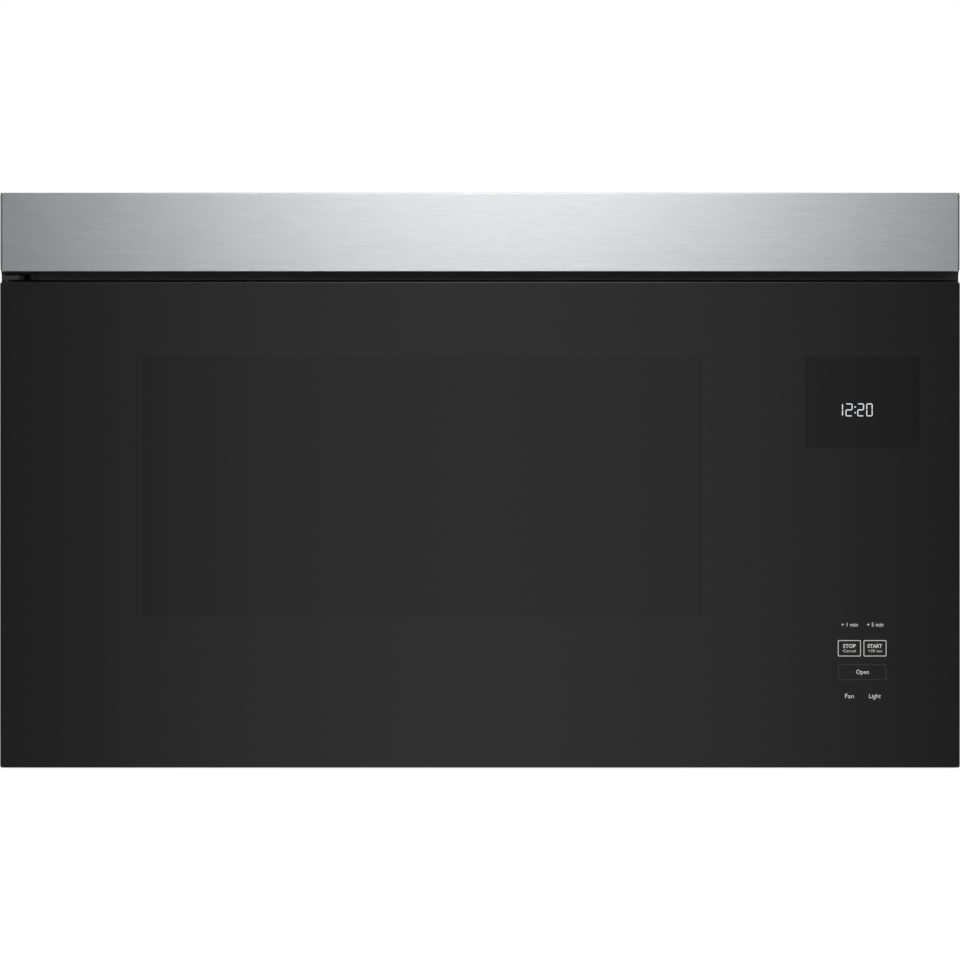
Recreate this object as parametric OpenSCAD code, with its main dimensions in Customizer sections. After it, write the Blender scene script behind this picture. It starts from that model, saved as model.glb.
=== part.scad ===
// Built-in microwave oven with a vent hood in its case and a flush glass door hinged at the left.
// Z is up, the front faces -Y, and the origin is the centre of the footprint at the case bottom.
// All sizes are in millimetres.

/* [Overall size] */
// Width over the door glass, the widest piece
unit_w = 758.8; // [750:0.1:775]
// Depth from the glass front to the back of the case
unit_d = 355; // [348:1:400]
// Height from the case bottom to the top of the steel strip
unit_h = 454.5; // [452:0.5:480]

/* [Front] */
// Height of the brushed steel strip
strip_h = 62.3; // [56:0.1:64]
// Dark gap between the strip and the door glass
gap_h = 8.2; // [8:0.1:10]
// The door glass starts this far above the case bottom
toe_gap = 0; // [0:0.1:2]
// Corner radius of the glass and the strip
corner_r = 2; // [1:0.1:4]
// Thickness of the door glass
glass_t = 4; // [3:0.5:4]
// Depth of the whole door, glass included
door_t = 38; // [37.8:0.1:38.2]
// Gap between the door's rear face and the case front
door_gap = 1.5; // [1.2:0.1:2.5]
// The strip is this much narrower than the glass at each side
strip_inset = 0.3; // [0.1:0.1:1]
// The case is this much narrower than the glass at each side
case_inset = 0.8; // [0.5:0.1:2]
// Depth of the folded returns of the strip
strip_return = 16; // [10:1:24]
// Sheet thickness of the strip
strip_t = 0.8; // [0.6:0.1:1]
// Wall of the black carrier behind the strip
carrier_t = 2; // [1.5:0.1:2.5]
// The dark face in the gap lies this far behind the glass front
recess_depth = 16; // [14:1:18]

/* [Case sheet] */
// Thickness of the outer case sheets
sheet_t = 1; // [0.8:0.1:1.2]
// Thickness of the front frame
frame_t = 1.2; // [1:0.1:1.5]
// Thickness of the cavity sheet
liner_t = 0.8; // [0.6:0.1:1]
// Width of the folded screw flanges
flange_w = 12; // [10:1:14]
// Radius of the screw shanks
screw_r = 1.9; // [1.5:0.1:2]
// Radius of the flush screw heads
head_r = 3.6; // [3:0.1:4]

/* [Cavity] */
// Air way from the case's left side to the cavity
cav_left = 82.8; // [70:0.1:110]
// Bay from the cavity to the case's right side
bay_w = 174.4; // [170:0.1:200]
// Height of the space above the cavity, which holds the blower
loft_h = 120.7; // [118:0.1:130]
// Depth of the air way behind the cavity
rear_way = 31; // [24:0.5:60]
// Height of the cavity floor
cav_z = 112.5; // [110:0.1:114]
// Corner radius of the cavity
cav_r = 8; // [4:1:12]
// Floor left at each side of the ceramic plate
plate_side = 25; // [12:1:40]
// Floor left in front of and behind the ceramic plate
plate_end = 16; // [10:1:24]
// Thickness of the ceramic floor plate
plate_t = 5; // [4:0.5:6]
// Radius of the stirrer well below the plate
well_r = 95; // [85:1:105]
// Depth of the stirrer well below the plate
well_depth = 18; // [16:0.5:20]
// Radius of the holes in the vented parts of the cavity walls
vent_hole_r = 1.6; // [1:0.1:2]
// Spacing of the holes in the vented parts
vent_pitch = 7; // [5.5:0.5:8]

/* [Door] */
// The window is this much narrower than the cavity at each side
window_side = 28.65; // [28:0.05:40]
// The window is this much lower than the cavity at its top and bottom
window_end = 8.5; // [8:0.5:16]
// Wall of the door frame moulding
frame_wall = 3; // [2.5:0.1:3.5]
// The door frame is this much smaller than the glass at the sides
door_frame_inset = 0.8; // [0.5:0.1:1.5]
// Gap between the door frame and the glass's lower edge
skirt_h = 7; // [7:0.1:8]
// The choke reaches this far past the cavity opening
choke_reach = 37; // [36:0.5:38]
// Width of the choke groove
choke_groove = 20; // [16:0.5:21]
// Depth of the choke groove
choke_depth = 22; // [18:0.5:22]
// Sheet thickness of the choke
choke_t = 1.5; // [1.2:0.1:1.8]
// Pitch of the slots in the choke's lip
choke_pitch = 22; // [18:1:30]
// Thickness of the inner glass
inner_glass_t = 3; // [2.5:0.1:3.2]
// Width of the display field
display_w = 91.4; // [80:0.1:92]
// Height of the display field
display_h = 72.3; // [60:0.1:76]
// The display field's right edge lies this far in from the glass edge
display_right = 31.5; // [31:0.1:34]
// The display field's top edge lies this far below the glass's top edge
display_top = 59.2; // [50:0.1:70]

/* [Hinge] */
// The hinge axis lies this far in from the glass edge
hinge_in = 8; // [7.5:0.1:8.2]
// The hinge axis lies this far behind the glass front
hinge_back = 9.5; // [9.5:0.1:10.5]
// Radius of the hinge pins
pin_r = 3; // [2.5:0.1:3.2]
// Radial clearance of the pins in their bushes
pin_fit = 0.05; // [0.03:0.01:0.08]
// Outer radius of the hinge bushes
bush_r = 4.6; // [4.4:0.1:4.8]
// Width of the upper hinge arm, seen in the gap
arm_w = 17.4; // [16:0.1:18]
// Thickness of the hinge arms
arm_t = 3.5; // [3:0.1:4]

/* [Latch] */
// The latch bar lies this far in from the glass edge
latch_in = 27.4; // [26.5:0.1:28]
// Thickness of the latch bar
latch_t = 4; // [3:0.1:4.4]
// Travel of the latch between hooked and lifted
latch_travel = 6; // [4:0.5:6.5]
// Height of the lower hook's shank when the latch is lifted
hook_low_z = 150; // [146:1:160]
// The upper hook's shank lies this far below the glass's top edge when the latch is lifted
hook_top = 79.5; // [74:0.5:90]
// Height of the hook's shank
hook_h = 8; // [6:0.5:9]
// Drop of the hook's nose below its shank
nose_h = 5; // [4:0.5:6]
// The nose's front face lies this far behind the case front
nose_back = 12; // [11:0.5:13]
// Depth of the hook's nose
nose_t = 6; // [5:0.5:7]
// Radius of the lifter rod
rod_r = 3; // [2.5:0.1:3.5]
// Mean radius of the latch spring
spring_r = 4.4; // [3.8:0.1:4.6]
// Radius of the latch spring's wire
spring_wire = 0.6; // [0.4:0.05:0.7]
// Number of tilted turns of the latch spring
spring_n = 13; // [9:1:16]

/* [Vent] */
// Radius of the blower wheels
wheel_r = 42; // [38:0.5:43]
// Length of each blower wheel
wheel_l = 60; // [50:1:62]
// Number of blades on each blower wheel
blade_n = 28; // [16:1:32]
// Radial depth of the blower blades
blade_d = 7; // [6:0.5:9]
// Scroll radius at the tongue
scroll_r0 = 46; // [45:0.5:47]
// Scroll radius at the outlet's top
scroll_r1 = 60; // [58:0.5:62]
// Wall of the blower housings
scroll_t = 1.5; // [1.2:0.1:1.8]
// Inside length of each blower housing
scroll_l = 68; // [66:1:70]
// From the back of the case to the blower axis
blower_back = 79.5; // [76:0.5:84]
// Radius of the blower motor can
motor_r = 33; // [28:0.5:34]
// Length of the blower motor can
motor_l = 70; // [60:1:72]
// Radius of the blower shaft
shaft_r = 4; // [3:0.1:4.5]
// Width of the exhaust opening in the top
exhaust_w = 254; // [240:1:260]
// Depth of the exhaust opening in the top
exhaust_d = 83; // [76:1:88]
// From each side of the case to the front of the outlet duct
duct_side = 148.6; // [140:0.1:170]
// Width of each grease filter
filter_w = 150; // [140:1:154]
// From the lamp lenses back to the grease filters
filter_front = 5.8; // [5:0.1:12]
// From the back of the case forward to the grease filters
filter_rear = 30.5; // [28:0.5:60]
// Thickness of each grease filter
filter_t = 8; // [6:0.5:9]
// From each side of the case to the grease filters
filter_side = 48.6; // [40:0.1:60]
// Clearance round each grease filter
filter_gap = 0.4; // [0.3:0.1:1]
// Width of each cooktop lamp lens
lens_w = 84; // [70:1:90]
// Depth of each cooktop lamp lens
lens_d = 26; // [22:1:30]

/* [Oven parts] */
// Height of the waveguide
guide_h = 40; // [36:1:42]
// Width of the waveguide
guide_w = 84; // [76:1:88]
// From the cavity's right wall to the magnetron axis
magnetron_off = 57; // [55:1:60]
// Width of the magnetron across its yoke
magnetron_w = 92; // [86:1:94]
// Depth of the magnetron along its air path
magnetron_d = 80; // [76:1:84]
// Radius of the stirrer antenna
antenna_r = 80; // [60:1:84]
// Radius of the stirrer shaft
stirrer_r = 3; // [2.5:0.1:3.5]
// Radius of the cooling fan blades
fan_r = 43; // [36:0.5:44]
// Number of cooling fan blades
fan_n = 5; // [3:1:7]

/* [Hidden] */
$fn = 64;
eps = 1;
seat = 0.2;
fit = 0.05;

// Main planes of the case
x_case = unit_w / 2 - case_inset;
x_in = x_case - sheet_t;
y_front = -unit_d / 2;
y_back = unit_d / 2;
y_face = y_front + door_t + door_gap;
y_in = y_face + frame_t;
y_rear_in = y_back - sheet_t;
case_top = unit_h - strip_t;
z_in = case_top - sheet_t;

// Front pieces
door_z0 = toe_gap;
strip_z0 = unit_h - strip_h;
door_z1 = strip_z0 - gap_h;
x_strip = unit_w / 2 - strip_inset;
y_glass = y_front + glass_t;
y_door_rear = y_front + door_t;
frame_x = unit_w / 2 - door_frame_inset;
frame_z0 = door_z0 + skirt_h;
frame_z1 = door_z1 - 2.5;

// Cavity
cav_x0 = -x_case + cav_left;
cav_x1 = x_case - bay_w;
cav_w = cav_x1 - cav_x0;
cav_xc = cav_x0 + cav_w / 2;
cav_z1 = case_top - loft_h;
cav_h = cav_z1 - cav_z;
cav_y1 = y_back - rear_way;
plate_w = cav_w - 2 * plate_side;
plate_d = cav_y1 - y_face - 2 * plate_end;
cav_yc = (y_face + cav_y1) / 2;
liner_top = cav_z1 + liner_t;
liner_x1 = cav_x1 + liner_t;
plate_z0 = cav_z - plate_t;
well_z0 = plate_z0 - well_depth;

// Bay at the right of the cavity, above its own floor
bay_t = 1;
bay_z0 = well_z0 - liner_t;
bay_floor = bay_z0 + bay_t;
bay_rear = cav_y1 + liner_t;

// Waveguide below the cavity and the bay floor
guide_z0 = bay_z0 - guide_h;
mag_x = cav_x1 + magnetron_off;
mag_y = cav_yc;
guide_x0 = cav_xc - 56;
guide_x1 = mag_x + 46;
coupling_r = 14;

// Door hinge
hinge_x = -unit_w / 2 + hinge_in;
hinge_y = y_front + hinge_back;
arm_z1 = door_z1 + 1.7;
low_arm_z0 = door_z0 + 1.5;
low_arm_z1 = low_arm_z0 + arm_t;
pin_len = 18;
arm_half = 4.2;
bracket_t = 2.5;
arm_x = -unit_w / 2 + 1.6;
bracket_x = -x_in + frame_t + 0.3;

// Door choke and window
choke_x0 = cav_x0 - choke_reach;
choke_x1 = cav_x1 + choke_reach;
choke_z0 = cav_z - choke_reach;
choke_z1 = cav_z1 + choke_reach;
cover_t = 2;
y_choke_rear = y_door_rear - cover_t;
y_choke_front = y_choke_rear - choke_depth - choke_t;
lip_w = 12;
pane_in = choke_t * 2 + choke_groove + lip_w;
y_screen = y_choke_rear - 10;
window_x0 = cav_x0 + window_side;
window_x1 = cav_x1 - window_side;
window_z = cav_z + window_end;
window_z1 = cav_z1 - window_end;
screen_t = 0.6;

// Latch side
latch_x = unit_w / 2 - latch_in;
hook_high_z = door_z1 - hook_top;
hook_span = hook_high_z - hook_low_z;
y_nose = y_face + nose_back;
y_bar0 = y_door_rear - 24;
y_bar1 = y_door_rear - 6;
lifter_y = y_nose + nose_t + 6 + rod_r;
finger_h = 3;
finger_gap = 0.4;
hooks = [hook_low_z, hook_high_z];
slot_w = latch_t + 5;

// Blower
axis_y = y_back - blower_back;
base_t = 1.5;
scroll_k = (scroll_r1 - scroll_r0) / 270;
axis_z = liner_top + base_t + scroll_t + seat + scroll_r0 + scroll_k * 94;
tongue_a = -15;
outlet_y = axis_y - 72;
tongue_z = scroll_r0 * sin(-tongue_a);
house_in = motor_l / 2 + 4;
house_out = house_in + scroll_l + 2 * scroll_t;
eye_r = wheel_r - blade_d - 1;

// Outlet duct
duct_front_w = 2 * (x_case - duct_side);
duct_z0 = axis_z + tongue_z - scroll_t;
duct_z1 = axis_z + scroll_r1 + scroll_t;
duct_t = 1;
filter_band = 20;

// Grease filters and lamps
filter_x = x_case - filter_side - filter_w / 2;
filters = [-filter_x, filter_x];
filter_z0 = 1;
collar_z = filter_z0 + filter_t + filter_gap;
lens_y = y_in + 12 + lens_d / 2;
filter_y0 = lens_y + lens_d / 2 + filter_front;
filter_d = y_back - filter_rear - filter_y0;
filter_y = filter_y0 + filter_d / 2;
lens_x = x_case - 178.6;
lens_h = 8;

// Thermal cut-outs
cutout_r = 9;
cutout_h = 10;
cutout_y = cav_y1 - 84.3;

// Cooling fan
fan_y = bay_rear - 60.8;
fan_z = bay_floor + fan_r + 10;
fan_house = fan_r + 6;
fan_depth = 24;
fan_shaft_r = 2.5;

// Block between two corners
module block(a, b) {
    translate(a) cube(b - a);
}

// Rectangle with true round corners, in its own plane
module round_rect(x0, x1, z0, z1, r) {
    translate([x0 + r, z0]) square([x1 - x0 - 2 * r, z1 - z0]);
    translate([x0, z0 + r]) square([x1 - x0, z1 - z0 - 2 * r]);
    for (x = [x0 + r, x1 - r])
        for (z = [z0 + r, z1 - r])
            translate([x, z]) circle(r = r);
}

// Carries an outline drawn in X and Z from y0 to y1
module along_y(y0, y1) {
    translate([0, y1, 0]) rotate([90, 0, 0]) linear_extrude(height = y1 - y0) children();
}

// Carries an outline drawn in Y and Z from x0 to x1
module along_x(x0, x1) {
    translate([x0, 0, 0]) rotate([90, 0, 90]) linear_extrude(height = x1 - x0) children();
}

// Rod between two heights
module post(x, y, z0, z1, r) {
    translate([x, y, z0]) cylinder(r = r, h = z1 - z0);
}

// Rod along Y
module rod_y(x, z, y0, y1, r) {
    translate([x, y0, z]) rotate([-90, 0, 0]) cylinder(r = r, h = y1 - y0);
}

// Rod along X
module rod_x(y, z, x0, x1, r) {
    translate([x0, y, z]) rotate([0, 90, 0]) cylinder(r = r, h = x1 - x0);
}

// Flush screw whose head lies in the plane z = 0 and whose shank runs down
screw_len = 9;
module flush_screw(extra = 0) {
    translate([0, 0, -1.8]) cylinder(r1 = screw_r + extra, r2 = head_r + extra, h = 1.8);
    translate([0, 0, -screw_len - extra]) cylinder(r = screw_r + extra, h = screw_len - 1.8 + extra);
}

// Places of the screws through the sides of the wrap and through the back plate
side_screw_y = [y_in + 6, y_rear_in - 6];
side_screw_z = [60, case_top / 2, case_top - 60];
module case_screw_places() {
    for (s = [-1, 1])
        for (y = side_screw_y)
            for (z = side_screw_z)
                translate([s * x_case, y, z]) rotate([0, s * 90, 0]) children();
}

// Sheet wrap that is the top and both sides
module case_wrap() {
    color("#3b3c3e") difference() {
        block([-x_case, y_in, 0], [x_case, y_back, case_top]);
        block([-x_in, y_in - eps, -eps], [x_in, y_back + eps, z_in]);
        translate([-exhaust_w / 2, axis_y - exhaust_d / 2, z_in - eps])
            cube([exhaust_w, exhaust_d, sheet_t + 2 * eps]);
        for (x = bolt_x) post(x, bolt_y, z_in - eps, case_top + eps, bolt_r);
        post(cord_x, cord_y, z_in - eps, case_top + eps, cord_r + fit);
        case_screw_places() flush_screw(fit);
    }
}
bolt_side = 92.6;
bolt_x = [-x_case + bolt_side, x_case - bolt_side];
bolt_y = y_in + 60;
bolt_r = 3.2;
cord_r = 11;
cord_x = x_case - 48.6;
cord_y = bay_rear - cord_r - 14;

// Back plate with forward flanges and two slots for the wall bracket
hook_slot_side = 148.6;
hook_slot_x = [-x_case + hook_slot_side, x_case - hook_slot_side];
hook_slot_w = 60;
hook_slot_h = 8;
hook_slot_z = 22;
module back_plate() {
    color("#9a9c9e") difference() {
        union() {
            block([-x_in, y_rear_in, 0], [x_in, y_back, z_in]);
            for (s = [-1, 1])
                translate([s * (x_in - sheet_t / 2), y_rear_in - flange_w / 2, z_in / 2 + flange_w / 2])
                    cube([sheet_t, flange_w, z_in - flange_w - 3], center = true);
            block([-x_in + 2 * sheet_t, y_rear_in - flange_w, z_in - sheet_t],
                [x_in - 2 * sheet_t, y_rear_in, z_in]);
        }
        for (x = hook_slot_x)
            block([x - hook_slot_w / 2, y_rear_in - eps, hook_slot_z],
                [x + hook_slot_w / 2, y_back + eps, hook_slot_z + hook_slot_h]);
        case_screw_places() flush_screw(fit);
    }
}

// Base plate with the filter openings, their stepped collars and the lamp openings
module base_plate() {
    color("#8f9193") difference() {
        union() {
            block([-x_in, y_in, 0], [x_in, y_rear_in, sheet_t]);
            for (s = [-1, 1])
                translate([s * (x_in - sheet_t / 2), (y_in + y_rear_in) / 2, flange_w / 2])
                    cube([sheet_t, y_rear_in - y_in, flange_w], center = true);
            for (x = filters)
                filter_box(x, filter_gap + sheet_t, sheet_t / 2, collar_z + sheet_t);
        }
        for (x = filters) {
            filter_box(x, filter_gap, -eps, collar_z);
            filter_box(x, -6, -eps, collar_z + 2 * eps);
        }
        for (x = [-lens_x, lens_x])
            lens_box(x, fit, -eps, sheet_t + eps);
    }
}

// Space of one grease filter, grown by a margin
module filter_box(x, grow, z0, z1) {
    block([x - filter_w / 2 - grow, filter_y - filter_d / 2 - grow, z0],
        [x + filter_w / 2 + grow, filter_y + filter_d / 2 + grow, z1]);
}

// Space of one lamp lens, grown by a margin
module lens_box(x, grow, z0, z1) {
    block([x - lens_w / 2 - grow, lens_y - lens_d / 2 - grow, z0],
        [x + lens_w / 2 + grow, lens_y + lens_d / 2 + grow, z1]);
}

// Front frame that carries the cavity, with the cavity opening, latch slots, air slot and hinge slots
air_x = duct_front_w / 2 - 14;
module front_frame() {
    color("#a5a7a9") difference() {
        union() {
            along_y(y_face, y_in) translate([-x_case, 0]) square([2 * x_case, case_top]);
            for (s = [-1, 1])
                translate([s * (x_in - frame_t / 2), y_in + flange_w / 2, z_in / 2 + flange_w / 2])
                    cube([frame_t, flange_w, z_in - flange_w - 3], center = true);
            block([-x_in + 3, y_in, z_in - frame_t], [x_in - 3, y_in + flange_w, z_in]);
        }
        along_y(y_face - eps, y_in + eps) round_rect(cav_x0, cav_x1, cav_z, cav_z1, cav_r);
        along_y(y_face - eps, y_in + eps)
            translate([-air_x, duct_z0 + 3]) square([2 * air_x, duct_z1 - duct_z0 - 6]);
        for (z = hooks)
            hook_slot(z, y_face - eps, y_in + eps);
        upper_arm_space(seat);
        lower_arm_space(seat);
        hinge_screw_holes();
        case_screw_places() flush_screw(fit);
    }
}

// Slot that one door hook enters, lowered and lifted
hook_under = 0.5;
hook_over = 1.5;
module hook_slot(z, y0, y1) {
    block([latch_x - slot_w / 2, y0, z - latch_travel - hook_under],
        [latch_x + slot_w / 2, y1, z + hook_h + hook_over]);
}

// Oven cavity with the floor recess, the stirrer well and the vented parts of its walls
module cavity_liner() {
    color("#b4b6b8") difference() {
        union() {
            along_y(y_in, cav_y1 + liner_t)
                round_rect(cav_x0 - liner_t, cav_x1 + liner_t, cav_z - liner_t, cav_z1 + liner_t,
                    cav_r + liner_t);
            plate_space(plate_z0 - liner_t, cav_z - liner_t / 2, 0.8 + liner_t);
            post(cav_xc, cav_yc, well_z0 - liner_t, plate_z0 - liner_t / 2, well_r + liner_t);
        }
        along_y(y_in - eps, cav_y1) round_rect(cav_x0, cav_x1, cav_z, cav_z1, cav_r);
        plate_space(plate_z0, cav_z + eps, 0.8);
        post(cav_xc, cav_yc, well_z0, cav_z, well_r);
        post(cav_xc, cav_yc, well_z0 - liner_t - eps, well_z0 + eps, coupling_r);
        vent_field(cav_x1, lamp_y, lamp_z, 5, 5);
        vent_field(cav_x1, mag_y - 60, cav_z1 - 50, 9, 4);
        vent_field(cav_x0 - liner_t, cav_y1 - 60, cav_z1 - 50, 9, 4);
    }
}

// Space of the ceramic plate, grown by a margin at its sides
module plate_space(z0, z1, grow) {
    block([cav_xc - plate_w / 2 - grow, cav_yc - plate_d / 2 - grow, z0],
        [cav_xc + plate_w / 2 + grow, cav_yc + plate_d / 2 + grow, z1]);
}

// Field of holes through a side wall that starts at x
module vent_field(x, y, z, across, up) {
    for (i = [0:across - 1])
        for (j = [0:up - 1])
            rod_x(y + (i - (across - 1) / 2) * vent_pitch, z + (j - (up - 1) / 2) * vent_pitch,
                x - eps, x + liner_t + eps, vent_hole_r);
}

// Bent sheet that shuts the bay off from the greasy air below it and behind it
module bay_partition() {
    color("#96989a") difference() {
        along_x(liner_x1, x_in - frame_t - seat)
            polygon([[y_in, bay_z0], [bay_rear + bay_t, bay_z0], [bay_rear + bay_t, z_in - frame_t],
                [bay_rear, z_in - frame_t], [bay_rear, bay_floor], [y_in, bay_floor]]);
        post(mag_x, mag_y, bay_z0 - eps, bay_floor + eps, coupling_r);
    }
}

// Folded brushed steel strip
module steel_strip() {
    color("#c9cbcd") difference() {
        along_y(y_front, y_front + strip_return) round_rect(-x_strip, x_strip, strip_z0, unit_h, corner_r);
        along_y(y_front + strip_t, y_front + strip_return + eps)
            round_rect(-x_strip + strip_t, x_strip - strip_t, strip_z0 + strip_t, unit_h - strip_t,
                corner_r - strip_t);
    }
}

// Outline of the carrier: a hollow channel whose dark face shows in the gap. The vent air leaves through
// slots in its lower lip and over the top edge of the door
recess_floor = 1.5;
function carrier_outline(c) = [
    [y_front + strip_t + c, strip_z0 + strip_t + c],
    [y_front + recess_depth + c, strip_z0 + strip_t + c],
    [y_front + recess_depth + c, door_z1 + recess_floor + c],
    [y_face, door_z1 + recess_floor + c],
    [y_face, case_top - c],
    [y_front + strip_t + c, case_top - c]
];
slot_pitch = 42;
slot_n = floor((2 * x_strip - 80) / slot_pitch);
slot_l = 38;
air_slot_in = 4;
air_slot_d = 14;
module strip_carrier() {
    x_end = x_strip - corner_r;
    color("#18191a") difference() {
        along_x(-x_end, x_end) polygon(carrier_outline(0));
        intersection() {
            along_x(-x_end + carrier_t, x_end - carrier_t) polygon(carrier_outline(carrier_t));
            block([-x_end, y_front, 0], [x_end, y_face - eps, unit_h]);
        }
        block([-x_end + carrier_t, y_face - 2 * eps, door_z1 + recess_floor + carrier_t],
            [x_end - carrier_t, y_face + eps, case_top - carrier_t]);
        for (i = [0:slot_n - 1])
            translate([(i - (slot_n - 1) / 2) * slot_pitch - slot_l / 2,
                y_front + recess_depth + air_slot_in, door_z1 + recess_floor - eps])
                cube([slot_l, air_slot_d, carrier_t + 2 * eps]);
        block([-x_end - eps, y_front, door_z1], [hinge_notch_x, y_face + eps, arm_z1 + arm_t + 1]);
    }
}
hinge_notch_x = hinge_x + arm_w + 6;

// Pleated charcoal filter behind the front frame's air slot
pleat_n = 32;
module charcoal_filter() {
    w = duct_front_w / 2 - 2;
    z0 = duct_z0 + duct_t;
    z1 = duct_z1 - 1;
    y0 = y_in + 1;
    y1 = y0 + filter_band - 2;
    step = 2 * (w - 4) / pleat_n;
    peaks = [for (i = [0:pleat_n]) [-w + 4 + i * step, i % 2 == 0 ? y0 + 2 : y1 - 4]];
    back = [for (i = [0:pleat_n]) [-w + 4 + (pleat_n - i) * step, (pleat_n - i) % 2 == 0 ? y0 + 4 : y1 - 2]];
    color("#2a2b2c") {
        difference() {
            block([-w, y0, z0], [w, y1, z1]);
            block([-w + 4, y0 - eps, z0 + 3], [w - 4, y1 + eps, z1 - 3]);
        }
        translate([0, 0, z0 + 2.5]) linear_extrude(height = z1 - z0 - 5) polygon(concat(peaks, back));
    }
}

// Flared sheet channel from the blower outlets to the front frame
module duct_plan(grow, y0, y1) {
    half = duct_front_w / 2 + grow;
    rear = house_out + 1 + grow;
    polygon([[-half, y0], [half, y0], [half, y_in + filter_band + 2], [rear, y1], [-rear, y1],
        [-half, y_in + filter_band + 2]]);
}
module outlet_duct() {
    color("#a9abad") difference() {
        translate([0, 0, duct_z0]) linear_extrude(height = z_in - frame_t - seat - duct_z0)
            duct_plan(duct_t, y_in, outlet_y);
        translate([0, 0, duct_z0 + duct_t]) linear_extrude(height = z_in)
            duct_plan(0, y_in - eps, outlet_y + eps);
    }
}

// Scroll outline in Y and Z, grown by a wall
function scroll_point(a, grow) = let (r = scroll_r0 + scroll_k * max(a, 0) + grow)
    [axis_y - r * cos(a), axis_z - r * sin(a)];
function scroll_outline(grow, reach) = concat(
    [for (a = [tongue_a:9.5:270]) scroll_point(a, grow)],
    [[axis_y, axis_z + scroll_r1 + grow], [outlet_y - reach, axis_z + scroll_r1 + grow],
    [outlet_y - reach, axis_z + tongue_z - grow]]
);

// One scroll housing between x0 and x1 with an inlet eye in each side
module blower_housing(x0, x1) {
    difference() {
        along_x(x0, x1) polygon(scroll_outline(scroll_t, 0));
        along_x(x0 + scroll_t, x1 - scroll_t) polygon(scroll_outline(0, eps));
        rod_x(axis_y, axis_z, x0 - eps, x1 + eps, eye_r);
    }
}
module left_blower_housing() {
    color("#8b8d90") blower_housing(-house_out, -house_in);
}
module right_blower_housing() {
    color("#8b8d90") blower_housing(house_in, house_out);
}

// Tray on the cavity top that carries both housings and the motor cradle
module blower_base() {
    y0 = axis_y - 66;
    y1 = axis_y + 40;
    color("#a2a4a6") {
        block([-house_out, y0, liner_top], [house_out, y1, liner_top + base_t]);
        for (x = [-motor_l / 2 + 6, motor_l / 2 - 12])
            difference() {
                block([x, axis_y - 30, liner_top + base_t / 2], [x + 6, axis_y + 30, axis_z - 14]);
                rod_x(axis_y, axis_z, x - eps, x + 6 + eps, motor_r + seat);
            }
    }
}

// Motor can with a bored shaft way and two cooling collars
module blower_motor() {
    color("#56585b") difference() {
        union() {
            rod_x(axis_y, axis_z, -motor_l / 2, motor_l / 2, motor_r);
            rod_x(axis_y, axis_z, -motor_l / 2 - 3, motor_l / 2 + 3, 12);
        }
        rod_x(axis_y, axis_z, -motor_l, motor_l, shaft_r + fit);
        for (s = [-1, 1])
            translate([s * motor_l / 2, axis_y, axis_z]) rotate([0, 90, 0]) difference() {
                cylinder(r = motor_r - 5, h = 6, center = true);
                cylinder(r = 17, h = 8, center = true);
            }
    }
}

// Forward-curved blade outline: an arc between the inner and the outer radius of the wheel
blade_steps = 4;
function blade_point(i, side) = let (
        t = i / blade_steps,
        r = wheel_r - blade_d + blade_d * t,
        a = 14 * t * t + side * 1.1
    ) [r * cos(a), r * sin(a)];
module blade() {
    polygon(concat([for (i = [0:blade_steps]) blade_point(i, -1)],
        [for (i = [blade_steps:-1:0]) blade_point(i, 1)]));
}

// Centrifugal wheel: blades between an end ring and a hub plate, with a boss on the shaft
module blower_wheel(x_ring, x_plate) {
    turn = x_ring < x_plate ? 1 : -1;
    color("#6b6e72") translate([x_ring, axis_y, axis_z]) rotate([0, turn * 90, 0]) difference() {
        union() {
            linear_extrude(height = wheel_l) for (i = [0:blade_n - 1]) rotate(i * 360 / blade_n) blade();
            difference() {
                cylinder(r = wheel_r + 0.8, h = 3);
                translate([0, 0, -eps]) cylinder(r = wheel_r - blade_d - 0.4, h = 3 + 2 * eps);
            }
            translate([0, 0, wheel_l - 2]) cylinder(r = wheel_r + 0.8, h = 2);
            translate([0, 0, wheel_l - 18]) cylinder(r = 9, h = 18);
        }
        translate([0, 0, -eps]) cylinder(r = shaft_r + fit / 2, h = wheel_l + 2 * eps);
    }
}
wheel_out = house_in + scroll_l / 2 + scroll_t + wheel_l / 2;
module left_blower_wheel() {
    blower_wheel(-wheel_out, -wheel_out + wheel_l);
}
module right_blower_wheel() {
    blower_wheel(wheel_out, wheel_out - wheel_l);
}
module blower_shaft() {
    color("#c8cacc") rod_x(axis_y, axis_z, -wheel_out + wheel_l - 20, wheel_out - wheel_l + 20, shaft_r);
}

// Upper hinge bracket: plate behind the front frame, arm in the gap and the pin down into the door
module upper_arm_space(c) {
    block([bracket_x - c, y_face - eps, arm_z1 - c], [arm_x + arm_w + c, y_in + eps, arm_z1 + arm_t + c]);
}
leaf_w = 34;
leaf_down = 26;
leaf_up = 30;
lower_leaf_h = leaf_down + leaf_up;
arm_front = 6;
module upper_hinge_bracket() {
    color("#5f6163") difference() {
        union() {
            difference() {
                block([arm_x, hinge_y - arm_front, arm_z1], [arm_x + arm_w, y_face - 1, arm_z1 + arm_t]);
                translate([arm_x + arm_w, hinge_y - arm_front, arm_z1 + arm_t / 2])
                    rotate([0, 0, 45]) cube([arm_front, arm_front, arm_t * 2], center = true);
            }
            block([bracket_x, y_face - 2, arm_z1], [arm_x + arm_w, y_in + bracket_t, arm_z1 + arm_t]);
            block([bracket_x, y_in, arm_z1 - leaf_down],
                [bracket_x + leaf_w, y_in + bracket_t, arm_z1 + leaf_up]);
            post(hinge_x, hinge_y, frame_z1 - pin_len + 3, arm_z1 + eps, pin_r);
        }
        hinge_screw_holes();
    }
}

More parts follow.
